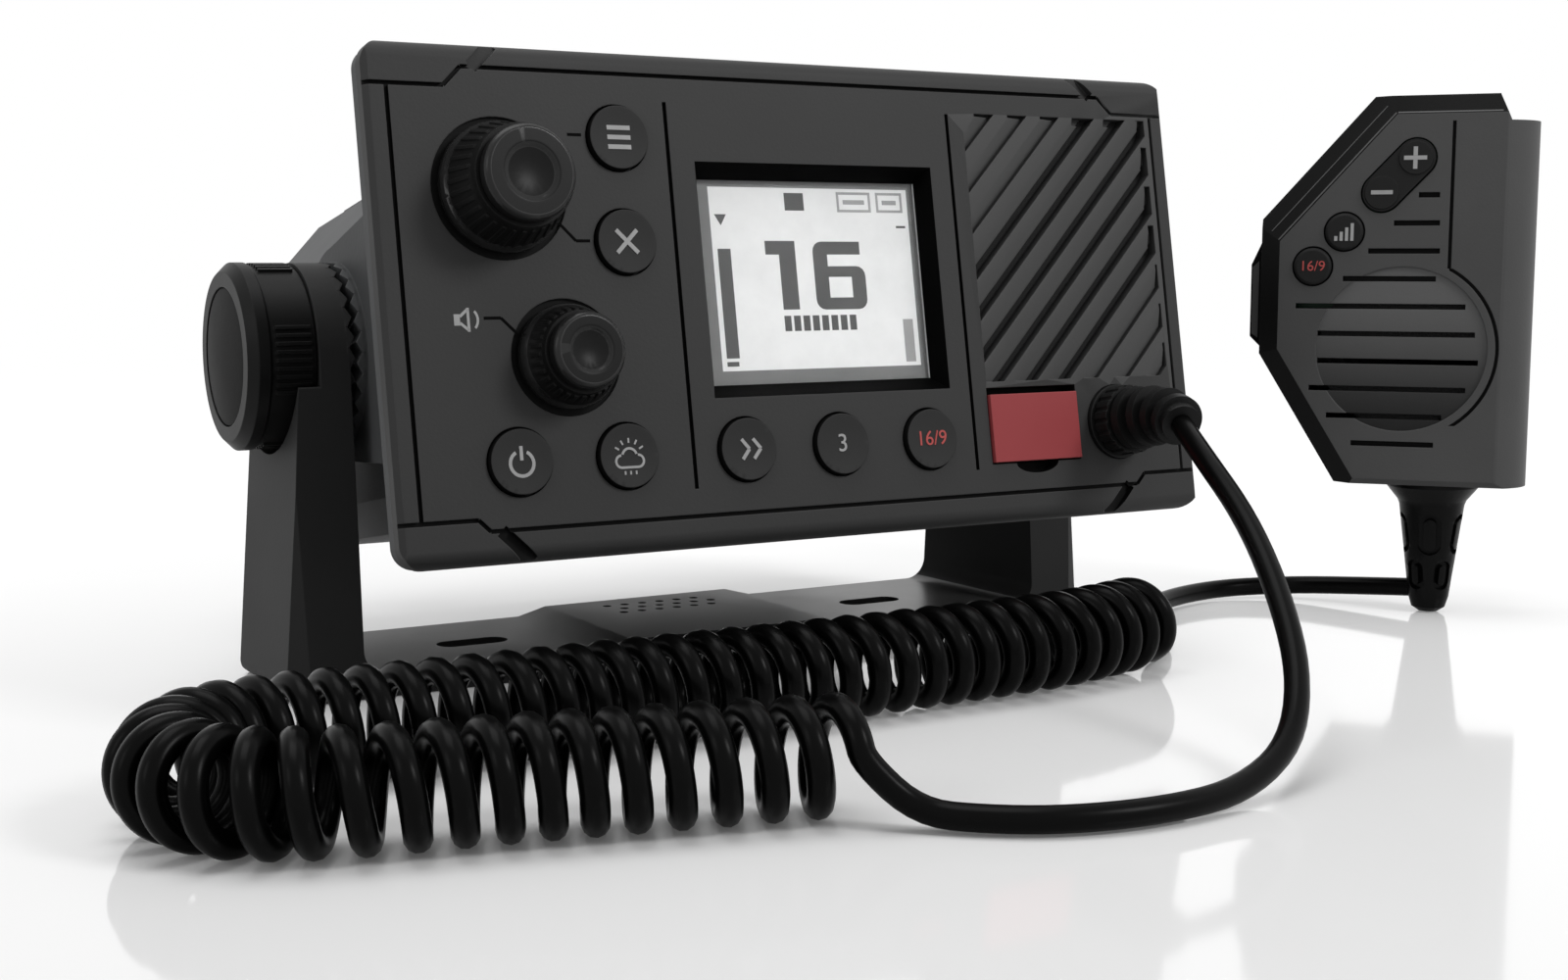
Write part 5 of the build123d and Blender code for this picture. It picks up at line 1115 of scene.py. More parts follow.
@dataclass
class Piece:
    """One new piece: a bmesh in a place's millimetres, a finish and a body.

    Flat shapes reach from the first of its levels to the second, and are drawn round its
    middle.
    """

    name: str
    finish: Finish
    body: str
    slot: str
    levels: Point = (0.0, 0.0)
    middle: Point = (0.0, 0.0)
    place: Place = Place.FACE
    mesh: bmesh.types.BMesh = field(default_factory=bmesh.new)

    def _block(self, at: Point, turn: float, length: float, width: float) -> None:
        """Adds a box between the levels.

        Args:
            at: Its centre.
            turn: Its turn in radians.
            length: Its length.
            width: Its width.
        """
        back, front = self.levels
        move = Matrix.Translation((at[0], at[1], (back + front) / 2))
        size = Matrix.Diagonal((length, width, front - back, 1))
        turned = move @ Matrix.Rotation(turn, 4, "Z") @ size
        bmesh.ops.create_cube(self.mesh, size=1, matrix=turned)

    def slab(self, left: float, right: float, low: float, high: float) -> None:
        """Adds an upright rectangle.

        Args:
            left: Its left side.
            right: Its right side.
            low: Its lower edge.
            high: Its upper edge.
        """
        self._block(((left + right) / 2, (low + high) / 2), 0.0, right - left, high - low)

    def bar(self, start: Point, end: Point, width: float) -> None:
        """Adds a straight strip between two points.

        Args:
            start: One end.
            end: The other end.
            width: The strip's width.
        """
        run = Vector(end) - Vector(start)
        centre = ((start[0] + end[0]) / 2, (start[1] + end[1]) / 2)
        self._block(centre, math.atan2(run.y, run.x), run.length, width)

    def plate(self, outline: Sequence[Point]) -> None:
        """Adds a flat plate with any outline.

        Args:
            outline: The outline's corners in order.
        """
        back, front = self.levels
        face = self.mesh.faces.new([self.mesh.verts.new((*corner, back)) for corner in outline])
        grown = bmesh.ops.extrude_face_region(self.mesh, geom=[face])["geom"]
        moved = [part for part in grown if isinstance(part, bmesh.types.BMVert)]
        bmesh.ops.translate(self.mesh, verts=moved, vec=(0, 0, front - back))

    def beam(self, start: Point3, end: Point3, across: Point3, thickness: float) -> None:
        """Adds a flat strip that lies on a sloped surface, whatever the levels.

        Args:
            start: The middle of one end.
            end: The middle of the other end.
            across: From one long edge to the other.
            thickness: Its thickness.
        """
        run, wide = Vector(end) - Vector(start), Vector(across)
        out = run.cross(wide).normalized() * thickness
        basis = Matrix((run, wide, out)).transposed().to_4x4()
        middle = Matrix.Translation((Vector(start) + Vector(end)) / 2)
        bmesh.ops.create_cube(self.mesh, size=1, matrix=middle @ basis)

    def disc(self, at: Point, radius: float, sides: int) -> None:
        """Adds a round plate.

        Args:
            at: Its centre.
            radius: Its radius.
            sides: The number of sides.
        """
        back, front = self.levels
        bmesh.ops.create_cone(
            self.mesh,
            cap_ends=True,
            segments=sides,
            radius1=radius,
            radius2=radius,
            depth=front - back,
            matrix=Matrix.Translation((at[0], at[1], (back + front) / 2)),
        )

    def arc(self, at: Point, radius: float, width: float, span: Point) -> None:
        """Adds part of a flat ring by spinning its section.

        Args:
            at: The ring's centre.
            radius: The radius of its middle line.
            width: The band's width.
            span: The first and last angle in degrees.
        """
        back, front = self.levels
        low, high = math.radians(span[0]), math.radians(span[1])
        inner, outer = radius - width / 2, radius + width / 2
        corners = ((inner, back), (outer, back), (outer, front), (inner, front))
        section = [
            self.mesh.verts.new((at[0] + out * math.cos(low), at[1] + out * math.sin(low), level))
            for out, level in corners
        ]
        bmesh.ops.spin(
            self.mesh,
            geom=[self.mesh.faces.new(section)],
            cent=(at[0], at[1], 0),
            axis=(0, 0, 1),
            angle=high - low,
            steps=max(6, round(abs(span[1] - span[0]) / ARC_STEP)),
            use_merge=False,
            use_duplicate=False,
        )

    def text(self, words: str, height: float) -> None:
        """Adds plain numerals round the piece's middle, as solid letters.

        Args:
            words: The characters.
            height: Their height.
        """
        back, front = self.levels
        curve = bpy.data.curves.new("numerals", "FONT")
        curve.body = words
        curve.align_x = "CENTER"
        curve.align_y = "CENTER"
        curve.size = height / NUMERAL_SHARE
        curve.extrude = (front - back) / 2
        letters = meshed(curve)
        letters.transform(Matrix.Translation((0, 0, (back + front) / 2)))
        self.mesh.from_mesh(letters)
        bpy.data.meshes.remove(letters)

    def finished(self) -> None:
        """Turns the bmesh into an object, dresses it and lets it ride."""
        bmesh.ops.recalc_face_normals(self.mesh, faces=self.mesh.faces)
        for face in self.mesh.faces:
            face.smooth = False
        data = bpy.data.meshes.new(self.name)
        self.mesh.to_mesh(data)
        self.mesh.free()
        data.transform(self.place.matrix() @ Matrix.Translation((*self.middle, 0)))
        data.materials.append(self.finish.build())
        made = add_object(self.name, data)
        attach(made, self.body)
        log.info("%s: %d faces on %s", self.name, len(data.polygons), self.body)


def quarter(at: Point, radius: float, start: float, steps: int = 4) -> list[Point]:
    """The points of a rounded corner, a quarter turn anticlockwise.

    Args:
        at: The round's centre.
        radius: Its radius.
        start: The first angle in degrees.
        steps: The number of straight pieces.

    Returns:
        The points.
    """
    angles = [math.radians(start + 90 * k / steps) for k in range(steps + 1)]
    return [(at[0] + radius * math.cos(a), at[1] + radius * math.sin(a)) for a in angles]


# ---- Cord --------------------------------------------------------------------------------
def lay_points(spline: bpy.types.Spline, points: Sequence[Vector]) -> None:
    """Gives a new spline its points.

    Args:
        spline: The spline.
        points: Its points, in metres.
    """
    spline.points.add(len(points) - 1)
    for target, source in zip(spline.points, points):
        target.co = (*source, 1.0)


def read_line(points: Sequence[Vector], resolution: int) -> list[Vector]:
    """Reads back the smooth line that a NURBS spline draws through its control points.

    Args:
        points: The control points, in metres.
        resolution: The number of steps for each control point.

    Returns:
        The points along the line.
    """
    curve = bpy.data.curves.new("route", "CURVE")
    curve.dimensions = "3D"
    spline = curve.splines.new("NURBS")
    lay_points(spline, points)
    spline.order_u = 3
    spline.use_endpoint_u = True
    spline.resolution_u = resolution
    drawn = meshed(curve)
    line = [vertex.co.copy() for vertex in drawn.vertices]
    bpy.data.meshes.remove(drawn)
    return line


def length_of(line: Sequence[Vector]) -> float:
    """The length of a line through its points."""
    return sum((b - a).length for a, b in zip(line, line[1:]))


@dataclass
class CoiledLead:
    """The one cord from the radio's plug, through its coil, to the microphone's boot.

    Radii and routes are in millimetres. Each stretch of the coil gives the share of the
    coil's length where it ends, its pitch, and how far and how often the pitch swings.
    """

    radius: float = 2.0
    coil_radius: float = 6.75
    coil_height: float = 8.75
    steps: int = 14
    route_resolution: int = 24
    cord_resolution: int = 5
    phases: Point = (95.0, 325.0)
    stretches: tuple[Box, ...] = (
        (0.25, 6.1, 0.4, 34.0),
        (0.45, 5.3, 0.0, 0.0),
        (math.inf, 5.6, 0.2, 50.0),
    )
    plug_lead: tuple[Point3, ...] = (
        (60.12, -80.19, 47.03),
        (55.57, -90.5, 42.93),
        (50.0, -108.0, 34.0),
        (43.8, -122.5, 23.8),
        (36.5, -134.8, 13.9),
        (26.5, -143.6, 6.0),
        (12.5, -148.4, 2.1),
        (-3.5, -150.5, 2.1),
        (-18.0, -147.6, 2.1),
        (-27.5, -141.6, 2.1),
        (-34.0, -135.2, 2.4),
    )
    coil: tuple[Point, ...] = (
        (-38.5, -124.5),
        (-58.0, -119.5),
        (-84.0, -112.5),
        (-111.5, -107.0),
        (-122.0, -96.5),
        (-122.0, -81.5),
        (-111.5, -71.0),
        (-84.0, -73.0),
        (-50.0, -73.8),
        (-15.0, -75.0),
        (18.0, -74.6),
        (43.0, -73.6),
        (61.5, -67.5),
    )
    mic_lead: tuple[Point3, ...] = (
        (65.0, -67.0, 2.1),
        (72.5, -61.6, 2.1),
        (80.5, -53.5, 2.1),
        (88.0, -41.0, 2.1),
        (98.0, -28.0, 2.1),
        (112.5, -20.3, 2.1),
        (128.0, -17.6, 2.2),
        (140.0, -22.6, 2.6),
        (147.5, -31.5, 3.4),
        (156.9, -52.4, 5.0),
    )

    def pitch(self, share: float) -> float:
        """The distance between two turns, at a share of the coil's length.

        Args:
            share: From 0 at the plug's end to 1 at the microphone's end.

        Returns:
            The pitch in metres.
        """
        _, mean, swing, pace = next(part for part in self.stretches if share < part[0])
        return (mean + swing * math.sin(share * pace)) * MM

    def helix(self) -> list[Vector]:
        """The coil's turns, as control points round the coil's own line.

        Returns:
            Points in metres.
        """
        route = [Vector((*at, self.coil_height)) * MM for at in self.coil]
        line = read_line(route, self.route_resolution)
        total = length_of(line)
        wound, done = [0.0], 0.0
        for low, high in zip(line, line[1:]):
            done += (high - low).length
            wound.append(wound[-1] + (high - low).length / self.pitch(done / total))
        first, last = self.phases
        turns = round(wound[-1]) + (last - first) / 360
        reach = self.coil_radius * MM / math.cos(math.pi / self.steps)
        points, step = [], 0
        for index, (low, high) in enumerate(zip(line, line[1:])):
            ahead = (high - low).normalized()
            near = Vector((ahead.y, -ahead.x, 0))
            begin, end = (wound[k] * turns / wound[-1] for k in (index, index + 1))
            while step / self.steps <= end and step <= turns * self.steps:
                phase = math.radians(first) + 2 * math.pi * step / self.steps
                swing = Vector((0, 0, -math.cos(phase))) - near * math.sin(phase)
                centre = low.lerp(high, (step / self.steps - begin) / (end - begin))
                points.append(centre + swing * reach)
                step += 1
        return points

    def _tube(self, path: Sequence[Vector]) -> bpy.types.Mesh:
        """Makes the jacket round the cord's line.

        Args:
            path: The line, in metres.

        Returns:
            The mesh.
        """
        curve = bpy.data.curves.new("coiled_lead", "CURVE")
        curve.dimensions = "3D"
        lay_points(curve.splines.new("POLY"), path)
        curve.bevel_depth = self.radius * MM
        curve.bevel_resolution = 4
        curve.use_fill_caps = True
        data = meshed(curve)
        for face in data.polygons:
            face.use_smooth = True
        data.materials.clear()
        data.materials.append(JACKET.build())
        return data

    def build(self) -> None:
        head, tail = ([Vector(at) * MM for at in lead] for lead in (self.plug_lead, self.mic_lead))
        path = read_line(head + self.helix() + tail, self.cord_resolution)
        cord = add_object("coiled_lead", self._tube(path))
        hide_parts("coil_cord", "lead_plug_end", "lead_mic_end")
        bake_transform(cord)


# ---- Display -----------------------------------------------------------------------------
@dataclass
class Display:
    """The picture on the display, just in front of its ground.

    A box is its left, right, lower and upper side.
    """

    levels: Point = (-4.5, -4.44)
    one: tuple[Box, ...] = ((71.5, 74.2, 50.0, 52.4), (74.2, 77.5, 40.3, 52.4))
    six_corner: float = 1.8
    volume_bar: tuple[Box, ...] = ((62.1, 64.6, 32.0, 51.0), (62.1, 64.4, 30.6, 31.4))
    pointer: tuple[Point, ...] = ((62.0, 57.0), (63.15, 55.1), (64.3, 57.0))
    dash: Box = (99.2, 101.2, 54.8, 55.2)
    icon: Box = (76.2, 80.1, 57.8, 60.9)
    tick_low: Point = (74.2, 36.5)
    tick_high: Point = (75.55, 39.2)
    tick_count: int = 8
    tick_step: float = 1.92
    squelch_bar: Box = (98.9, 101.0, 30.5, 38.2)
    badges: tuple[Box, ...] = ((87.0, 94.1, 57.6, 61.2), (95.3, 100.9, 57.6, 61.2))
    badge_line: float = 0.45
    badge_gap: Point = (1.3, 1.4)
    border: tuple[Box, ...] = (
        (58.2, 61.1, 27.0, 63.0),
        (102.0, 103.4, 27.0, 63.0),
        (61.1, 102.0, 27.0, 29.8),
        (61.1, 102.0, 61.8, 63.0),
    )

    def _six(self, piece: Piece) -> None:
        """Draws the six as one hook and the bowl's right side, with rounded corners.

        Args:
            piece: The piece to draw on.
        """
        corner = self.six_corner
        hook = quarter((82.9, 50.5), corner, 90) + quarter((82.9, 42.0), corner, 180)
        hook += [(88.8, 40.2), (88.8, 42.3), (84.0, 42.3), (84.0, 50.0), (90.9, 50.0), (90.9, 52.3)]
        piece.plate(hook)
        bowl = quarter((89.9, 42.0), corner, 270) + quarter((89.9, 46.1), corner, 0)
        bowl += [(84.0, 47.9), (84.0, 46.0), (88.8, 46.0), (88.8, 40.2)]
        piece.plate(bowl)

    def _badge(self, piece: Piece, box: Box) -> None:
        """Draws a rectangular outline with a bar in its middle.

        Args:
            piece: The piece to draw on.
            box: The outline.
        """
        (left, right, low, high), line = box, self.badge_line
        piece.slab(left, right, high - line, high)
        piece.slab(left, right, low, low + line)
        piece.slab(left, left + line, low + line, high - line)
        piece.slab(right - line, right, low + line, high - line)
        beside, above = self.badge_gap
        piece.slab(left + beside, right - beside, low + above, high - above)

    def _dark(self) -> None:
        """Draws the channel number, the left bar, the small marks and the line below."""
        dark = Piece("display_numerals", SCREEN_DARK, "radio", "lcd_module", self.levels)
        for box in self.one:
            dark.slab(*box)
        self._six(dark)
        for box in self.volume_bar:
            dark.slab(*box)
        dark.plate(self.pointer)
        dark.slab(*self.dash)
        dark.slab(*self.icon)
        (left, low), (right, high) = self.tick_low, self.tick_high
        for index in range(self.tick_count):
            shift = index * self.tick_step
            dark.slab(left + shift, right + shift, low, high)
        dark.finished()

    def build(self) -> None:
        """Draws the dark and pale parts of the picture, and its border."""
        self._dark()
        pale = Piece("display_bars", SCREEN_PALE, "radio", "lcd_module", self.levels)
        pale.slab(*self.squelch_bar)
        for box in self.badges:
            self._badge(pale, box)
        pale.finished()
        edge = Piece("display_border", SCREEN_EDGE, "radio", "lcd_module", self.levels)
        for box in self.border:
            edge.slab(*box)
        edge.finished()


# ---- Legends on the face -----------------------------------------------------------------
def draw_power(sign: Piece) -> None:
    """Draws a broken ring with an upright bar."""
    sign.arc((0, -0.3), 2.0, 0.55, (118, 422))
    sign.bar((0, 0.2), (0, 2.5), 0.55)


def draw_cancel(sign: Piece) -> None:
    """Draws a cross.

    Args:
        sign: The key's legend.
    """
    reach, gap, stroke = 1.9, 0.25, 0.7
    sign.bar((-reach, -reach), (reach, reach), stroke)
    for way in (-1, 1):
        sign.bar((way * gap, -way * gap), (way * reach, -way * reach), stroke)


def draw_menu(sign: Piece) -> None:
    """Draws three lines."""
    for level in (-1.6, 0.0, 1.6):
        sign.bar((-2.1, level), (2.1, level), 0.75)


def draw_weather(sign: Piece) -> None:
    """Draws a cloud's outline with rain under it and the rays of a sun over it.

    Args:
        sign: The key's legend.
    """
    cloud, rays = 0.4, 0.3
    sign.arc((-1.5, -0.5), 1.0, cloud, (90, 270))
    sign.arc((1.5, -0.5), 1.0, cloud, (-90, 90))
    sign.arc((0, 0.3), 1.3, cloud, (15, 165))
    sign.bar((-1.5, -1.5), (1.5, -1.5), cloud)
    for angle in (30, 60, 90, 120, 150):
        aim = Vector((math.cos(math.radians(angle)), math.sin(math.radians(angle))))
        start, end = aim * 2.1, aim * 2.9
        sign.bar((start.x, start.y + 0.4), (end.x, end.y + 0.4), rays)
    for along in (-1.0, 0.0, 1.0):
        sign.bar((along, -2.1), (along, -2.7), rays)


def draw_scan(sign: Piece) -> None:
    """Draws two arrow heads that point on.

    Args:
        sign: The key's legend.
    """
    for shift in (-1.3, 0.9):
        for way in (1, -1):
            sign.bar((shift, way * 1.7), (shift + 1.4, 0), 0.6)


def draw_three(sign: Piece) -> None:
    """Draws the number of the three-channel key."""
    sign.text("3", 3.2)


def draw_sixteen(sign: Piece) -> None:
    """Draws the numbers of the sixteen key."""
    sign.text("16/9", 2.7)


@dataclass(frozen=True)
class KeySign:
    """A key's legend: its own name and the key's, its ink, its middle and what is drawn."""

    name: str
    key: str
    ink: Lit
    middle: Point
    draw: Callable[[Piece], None]


@dataclass
class FaceLegends:
    """Plain symbols and numbers on the keys, and the fine lines beside them."""

    on_keys: Point = (0.66, 0.92)
    on_face: Point = (-0.05, 0.04)
    in_face: Point = (-0.05, 0.03)
    signs: tuple[KeySign, ...] = (
        KeySign("legend_power", "key_power", LEGEND, (20.7, 16.0), draw_power),
        KeySign("legend_cancel", "key_cancel", LEGEND, (42.5, 51.3), draw_cancel),
        KeySign("legend_menu", "key_menu", LEGEND, (42.6, 68.6), draw_menu),
        KeySign("legend_weather", "key_weather", LEGEND, (39.6, 15.6), draw_weather),
        KeySign("legend_scan", "key_scan", LEGEND, (61.95, 16.0), draw_scan),
        KeySign("legend_three", "key_three_channel", LEGEND, (80.65, 16.0), draw_three),
        KeySign("legend_sixteen", "key_sixteen", LEGEND_RED, (99.35, 16.0), draw_sixteen),
    )
    leaders: tuple[tuple[Point, Point], ...] = (
        ((33.7, 69.0), (36.2, 69.0)),
        ((30.9, 54.4), (33.7, 51.5)),
        ((33.7, 51.5), (36.2, 51.5)),
        ((16.6, 39.1), (19.5, 39.1)),
        ((19.5, 39.1), (22.2, 36.4)),
    )
    leader_width: float = 0.5
    volume_box: Box = (11.6, 12.6, 38.0, 39.8)
    volume_horn: tuple[tuple[Point, Point], ...] = (
        ((12.6, 38.4), (14.0, 37.2)),
        ((12.6, 39.4), (14.0, 40.6)),
        ((14.0, 37.0), (14.0, 40.8)),
    )
    volume_stroke: float = 0.45
    wave_at: Point = (13.6, 38.9)
    wave_radius: float = 2.0
    wave_stroke: float = 0.4
    wave_span: Point = (-42, 42)

    def _volume(self) -> None:
        """Draws a small loudspeaker with one sound wave."""
        volume = Piece("legend_volume", LEGEND, "radio", "front_bezel", self.on_face)
        volume.slab(*self.volume_box)
        for start, end in self.volume_horn:
            volume.bar(start, end, self.volume_stroke)
        volume.arc(self.wave_at, self.wave_radius, self.wave_stroke, self.wave_span)
        volume.finished()

    def build(self) -> None:
        """Makes all legends of the face."""
        for sign in self.signs:
            body = f"{sign.key}_body"
            piece = Piece(sign.name, sign.ink, body, sign.key, self.on_keys, sign.middle)
            sign.draw(piece)
            piece.finished()
        lines = Piece("leader_lines", GROOVE, "radio", "front_bezel", self.in_face)
        for start, end in self.leaders:
            lines.bar(start, end, self.leader_width)
        lines.finished()
        self._volume()


# ---- Trim of the microphone --------------------------------------------------------------
@dataclass
class HandsetTrim:
    """The microphone's symbols, the lines along its bevels, a painted reflection on its talk key
    and the cloth behind its slots.
    """

    on_keys: Point = (12.5, 12.82)
    numerals: Point = (12.5, 12.8)
    stroke: float = 0.85
    plus: Point = (-5.5, 97.5)
    plus_reach: float = 2.3
    plus_gap: float = 0.45
    minus: Point = (-12.0, 90.4)
    minus_reach: float = 2.2
    channel_key: Point = (-25.7, 74.9)
    numeral_height: float = 2.2
    power_foot: Point = (-21.4, 80.3)
    power_bars: tuple[float, ...] = (1.0, 1.9, 2.8, 3.7)
    power_step: float = 1.1
    power_width: float = 0.65
    # The broad bevel's upper and lower end, at its front edge and at its back edge.
    front_edge: tuple[Point3, Point3] = ((-9.3, 106.6, 12.0), (-32.7, 80.24, 12.0))
    back_edge: tuple[Point3, Point3] = ((-14.2, 110.6, 7.0), (-36.9, 85.0, 7.0))
    # The share of the bevel that lies in front of each line, and the line's width.
    lines: tuple[Point, ...] = ((0.07, 0.35), (0.46, 0.22))
    line_depth: float = 0.1
    top_end: Point3 = (11.4, 106.6, 12.0)
    top_slope: Point3 = (0.0, 4.0, -3.0)
    top_width: float = 0.35
    # How far the top line stands off the bevel's edge, in widths of the line.
    top_offset: float = 1.1
    # A pale plate on the talk key's outer side: a painted reflection.
    reflection_strip: tuple[Point, ...] = ((-38.95, 60.2), (-37.6, 59.3), (-37.6, 76.0), (-38.95, 74.7))
    reflection_levels: Point = (5.36, 5.46)
    cloth_radius: float = 16.9
    cloth_sides: int = 48
    cloth_levels: Point = (9.74, 9.92)

    def _piece(
        self, name: str, finish: Finish, body: str, slot: str, levels: Point = (0.0, 0.0)
    ) -> Piece:
        """Starts a piece on the microphone's front."""
        return Piece(name, finish, body, slot, levels, place=Place.HANDSET)

    def _signs(self) -> None:
        """Adds plus and minus on the rocker."""
        signs = self._piece("legend_rocker", LEGEND, "rocker", "mic_rocker_key", self.on_keys)
        (x, y), reach = self.plus, self.plus_reach
        signs.bar((x - reach, y), (x + reach, y), self.stroke)
        for way in (-1, 1):
            signs.bar((x, y + way * self.plus_gap), (x, y + way * reach), self.stroke)
        (x, y), reach = self.minus, self.minus_reach
        signs.bar((x - reach, y), (x + reach, y), self.stroke)
        signs.finished()

    def _keys(self) -> None:
        """Adds plain numbers on the lower key and rising bars on the upper one."""
        numbers = self._piece(
            "legend_mic_channel", LEGEND_RED, "mic_channel", "mic_channel_key", self.numerals
        )
        numbers.middle = self.channel_key
        numbers.text("16/9", self.numeral_height)
        numbers.finished()
        power = self._piece(
            "legend_mic_power", LEGEND, "mic_power", "mic_power_key", self.on_keys
        )
        for index, height in enumerate(self.power_bars):
            left, foot = self.power_foot[0] + index * self.power_step, self.power_foot[1]
            power.slab(left, left + self.power_width, foot, foot + height)
        power.finished()

    def _lines(self) -> None:
        """Adds the thin pale lines along the broad bevel and the top bevel; those by the bevels'
        front edges are painted highlights.
        """
        high, low = (Vector(end) for end in self.front_edge)
        out_high, out_low = (Vector(end) for end in self.back_edge)
        across = (out_high - high + out_low - low).normalized()
        lines = self._piece("mic_bevel_lines_and_highlights", BEVEL_LINE_AND_HIGHLIGHT, "base", "mic_front_shell")
        for share, width in self.lines:
            start, end = high.lerp(out_high, share), low.lerp(out_low, share)
            lines.beam(start, end, across * width, self.line_depth)
        over = Vector(self.top_slope).normalized() * self.top_width
        shift = over * self.top_offset
        lines.beam(high + shift, Vector(self.top_end) + shift, over, self.line_depth)
        lines.finished()

    def build(self) -> None:
        """Makes all of the microphone's trim."""
        self._signs()
        self._keys()
        self._lines()
        reflection_strip = self._piece(
            "talk_key_painted_reflection", TALK_PAINTED_REFLECTION, "talk", "mic_talk_key", self.reflection_levels
        )
        reflection_strip.plate(self.reflection_strip)
        reflection_strip.finished()
        cloth = self._piece("mic_speaker_cloth", CLOTH, "base", "mic_speaker", self.cloth_levels)
        cloth.disc(MIC_SPEAKER_AT, self.cloth_radius, self.cloth_sides)
        cloth.finished()


@dataclass
class SpeakerCloth:
    """The dark cloth behind the louvres."""

    box: Box = (112.0, 157.0, 25.6, 76.5)
    levels: Point = (-2.6, -2.45)

    def build(self) -> None:
        """Makes the cloth in front of the loudspeaker."""
        cloth = Piece("speaker_cloth", CLOTH, "radio", "loudspeaker", self.levels)
        cloth.slab(*self.box)
        cloth.finished()


# ---- Studio ------------------------------------------------------------------------------
WHITE = (1.0, 1.0, 1.0, 1.0)
LAMP_AIM = (0.0, -0.05, 0.05)


def seen_level(graph: Graph, low: float, high: float) -> Socket:
    """A level that is high where the camera looks, straight or by a mirror or glass.

    Args:
        graph: The node tree.
        low: The level for all other light.
        high: The level that is seen.

    Returns:
        The level's socket.
    """
    paths = graph.add("ShaderNodeLightPath").outputs
    seen = paths["Is Camera Ray"]
    for label in ("Is Glossy Ray", "Is Transmission Ray"):
        seen = graph.maths("MAXIMUM", seen, paths[label]).outputs[0]
    return graph.ranged(seen, To_Min=low, To_Max=high)


@dataclass(frozen=True)
class PolishedFloor(Finish):
    """A pale floor that mirrors the radio and fades into the white far from the camera."""

    eye: Point3
    world: float
    near: float = 0.35
    far: float = 1.5
    bounce: float = 0.3
    tone: float = 0.96
    veil: Point = (0.03, 0.17)
    veil_reach: Point = (0.2, 0.5)

    def lay(self, shader: Shader) -> None:
        """Joins up the floor's tone, its veil of light and its far, white part.

        Args:
            shader: The material under construction.
        """
        reach = shader.add("ShaderNodeVectorMath")
        reach.operation = "DISTANCE"
        reach.inputs[1].default_value = (self.eye[0], self.eye[1], 0)
        shader.link(shader.coordinates(), reach.inputs[0])
        away = reach.outputs["Value"]
        (close, wide), (thin, thick) = self.veil_reach, self.veil
        veil = shader.ranged(away, From_Min=close, From_Max=wide, To_Min=thin, To_Max=thick)
        painted_glow = shader.maths("MULTIPLY", veil, seen_level(shader, 0.0, 1.0))
        shader.link(painted_glow.outputs[0], shader.body.inputs["Emission Strength"])
        tone = shader.add("ShaderNodeCombineColor")
        level = seen_level(shader, self.bounce, self.tone)
        for channel in ("Red", "Green", "Blue"):
            shader.link(level, tone.inputs[channel])
        shader.link(tone.outputs["Color"], shader.body.inputs["Base Color"])
        shader.set(Emission_Color=WHITE, Roughness=0.07, Specular_IOR_Level=0.5)
        white, both = shader.add("ShaderNodeEmission"), shader.add("ShaderNodeMixShader")
        shader.link(seen_level(shader, self.world, 1.0), white.inputs["Strength"])
        fade = shader.ranged(away, True, From_Min=self.near, From_Max=self.far)
        shader.link(fade, both.inputs[0])
        shader.link(shader.body.outputs[0], both.inputs[1])
        shader.link(white.outputs[0], both.inputs[2])
        shader.link(both.outputs[0], shader.tree.nodes["Material Output"].inputs["Surface"])


@dataclass(frozen=True)
class Lamp:
    """A square lamp that looks at the radio, with its place and side in metres."""

    name: str
    at: Point3
    side: float
    watts: float

    def hang(self) -> None:
        """Puts the lamp into the scene."""
        light = bpy.data.lights.new(self.name, "AREA")
        light.size = self.side
        light.energy = self.watts
        lamp = add_object(self.name, light)
        lamp.location = self.at
        aim = Vector(LAMP_AIM) - Vector(self.at)
        lamp.rotation_euler = aim.to_track_quat("-Z", "Y").to_euler()


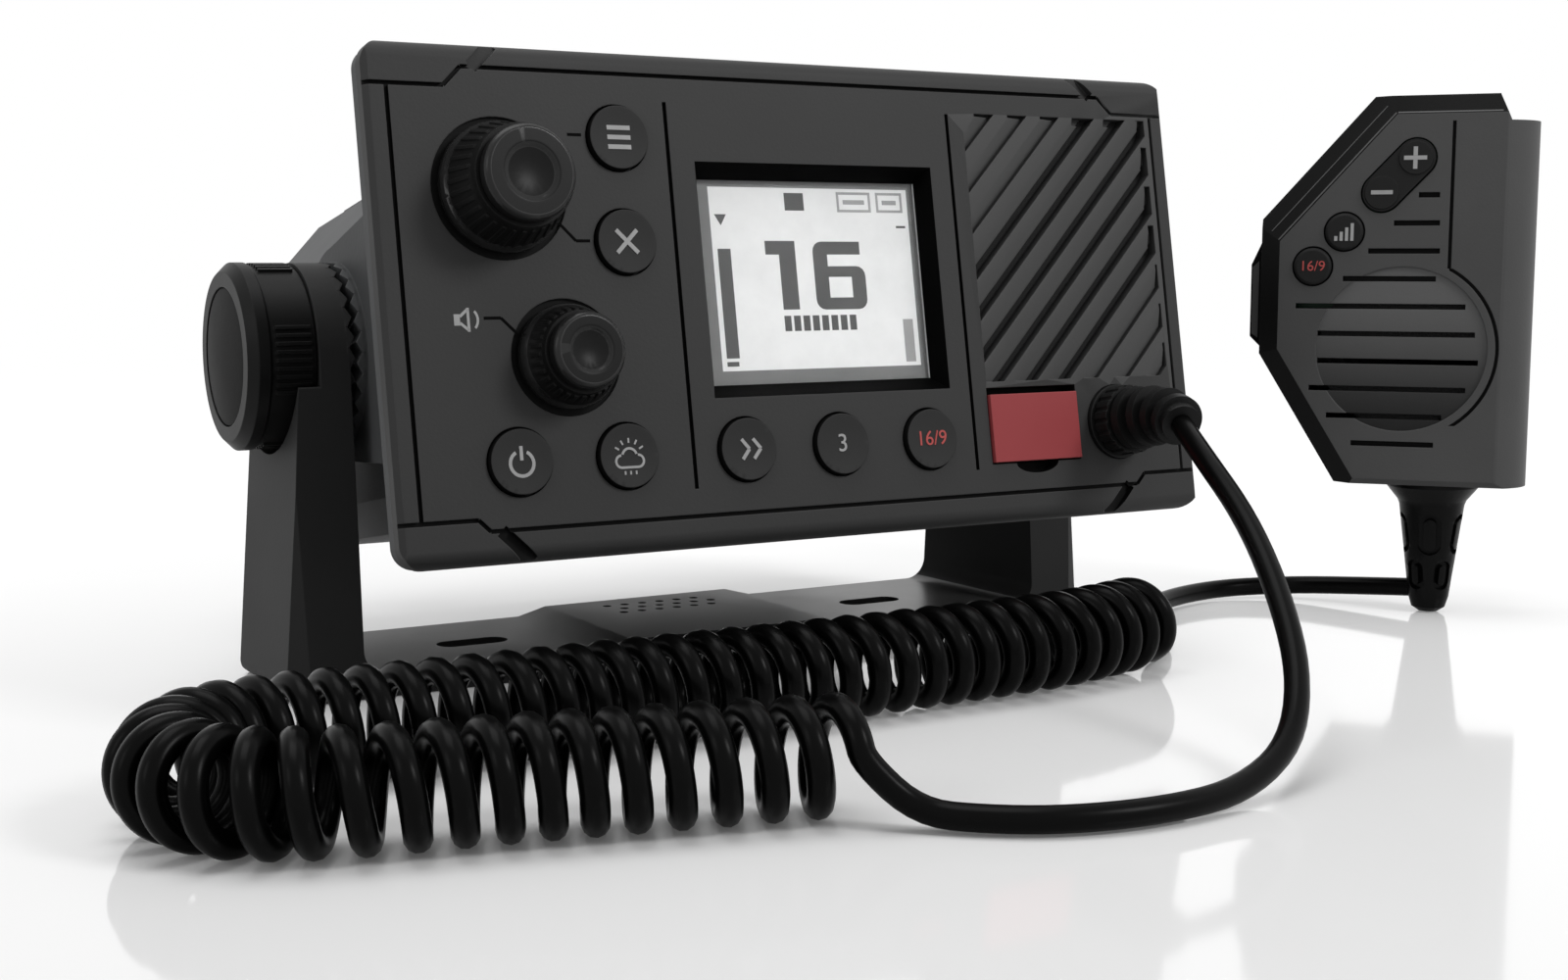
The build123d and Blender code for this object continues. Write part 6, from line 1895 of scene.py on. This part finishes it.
@dataclass
class Studio:
    """Floor, light and camera, in metres and degrees."""

    eye: Point3 = (-0.1822, -0.3528, 0.0777)
    pitch: float = 83.212
    yaw: float = -30.3
    lens: float = 45.68
    world: float = 0.4
    floor_half: float = 8.0
    floor_drop: float = 0.0002
    lamps: tuple[Lamp, ...] = (
        Lamp("top_light", (-0.15, 0.05, 1.3), 0.8, 6.0),
        Lamp("left_light", (-1.3, -0.35, 0.75), 0.5, 1.8),
        Lamp("front_light", (0.4, -0.75, 0.6), 0.25, 3.0),
    )

    def floor(self) -> None:
        """Lays the floor."""
        mesh = bmesh.new()
        bmesh.ops.create_grid(mesh, x_segments=1, y_segments=1, size=self.floor_half)
        data = bpy.data.meshes.new("floor")
        mesh.to_mesh(data)
        mesh.free()
        ground = add_object("floor", data)
        ground.location = (0, 0, -self.floor_drop)
        data.materials.append(PolishedFloor("polished_floor", self.eye, self.world).build())

    def sky(self) -> None:
        """Makes the white surroundings."""
        world = bpy.data.worlds.new("studio")
        world.use_nodes = True
        graph = Graph(world.node_tree)
        ground = world.node_tree.nodes["Background"]
        ground.inputs["Color"].default_value = WHITE
        graph.link(seen_level(graph, self.world, 1.0), ground.inputs["Strength"])
        bpy.context.scene.world = world

    def camera(self) -> None:
        """Sets the camera."""
        data = bpy.data.cameras.new("camera")
        data.lens = self.lens
        data.sensor_width = 36.0
        data.clip_start = 0.01
        camera = add_object("camera", data)
        camera.location = self.eye
        camera.rotation_euler = (math.radians(self.pitch), 0, math.radians(self.yaw))
        bpy.context.scene.camera = camera

    def build(self) -> None:
        """Sets up everything that isn't the object."""
        self.floor()
        self.sky()
        for lamp in self.lamps:
            lamp.hang()
        self.camera()
        bpy.context.scene.view_settings.view_transform = "Standard"


def main() -> None:
    """Builds the looks, piece by piece."""
    Studio().build()
    CoiledLead().build()
    Dresser().dress()
    SoftEdges().build()
    Display().build()
    FaceLegends().build()
    HandsetTrim().build()
    SpeakerCloth().build()


if __name__ == "__main__":
    main()
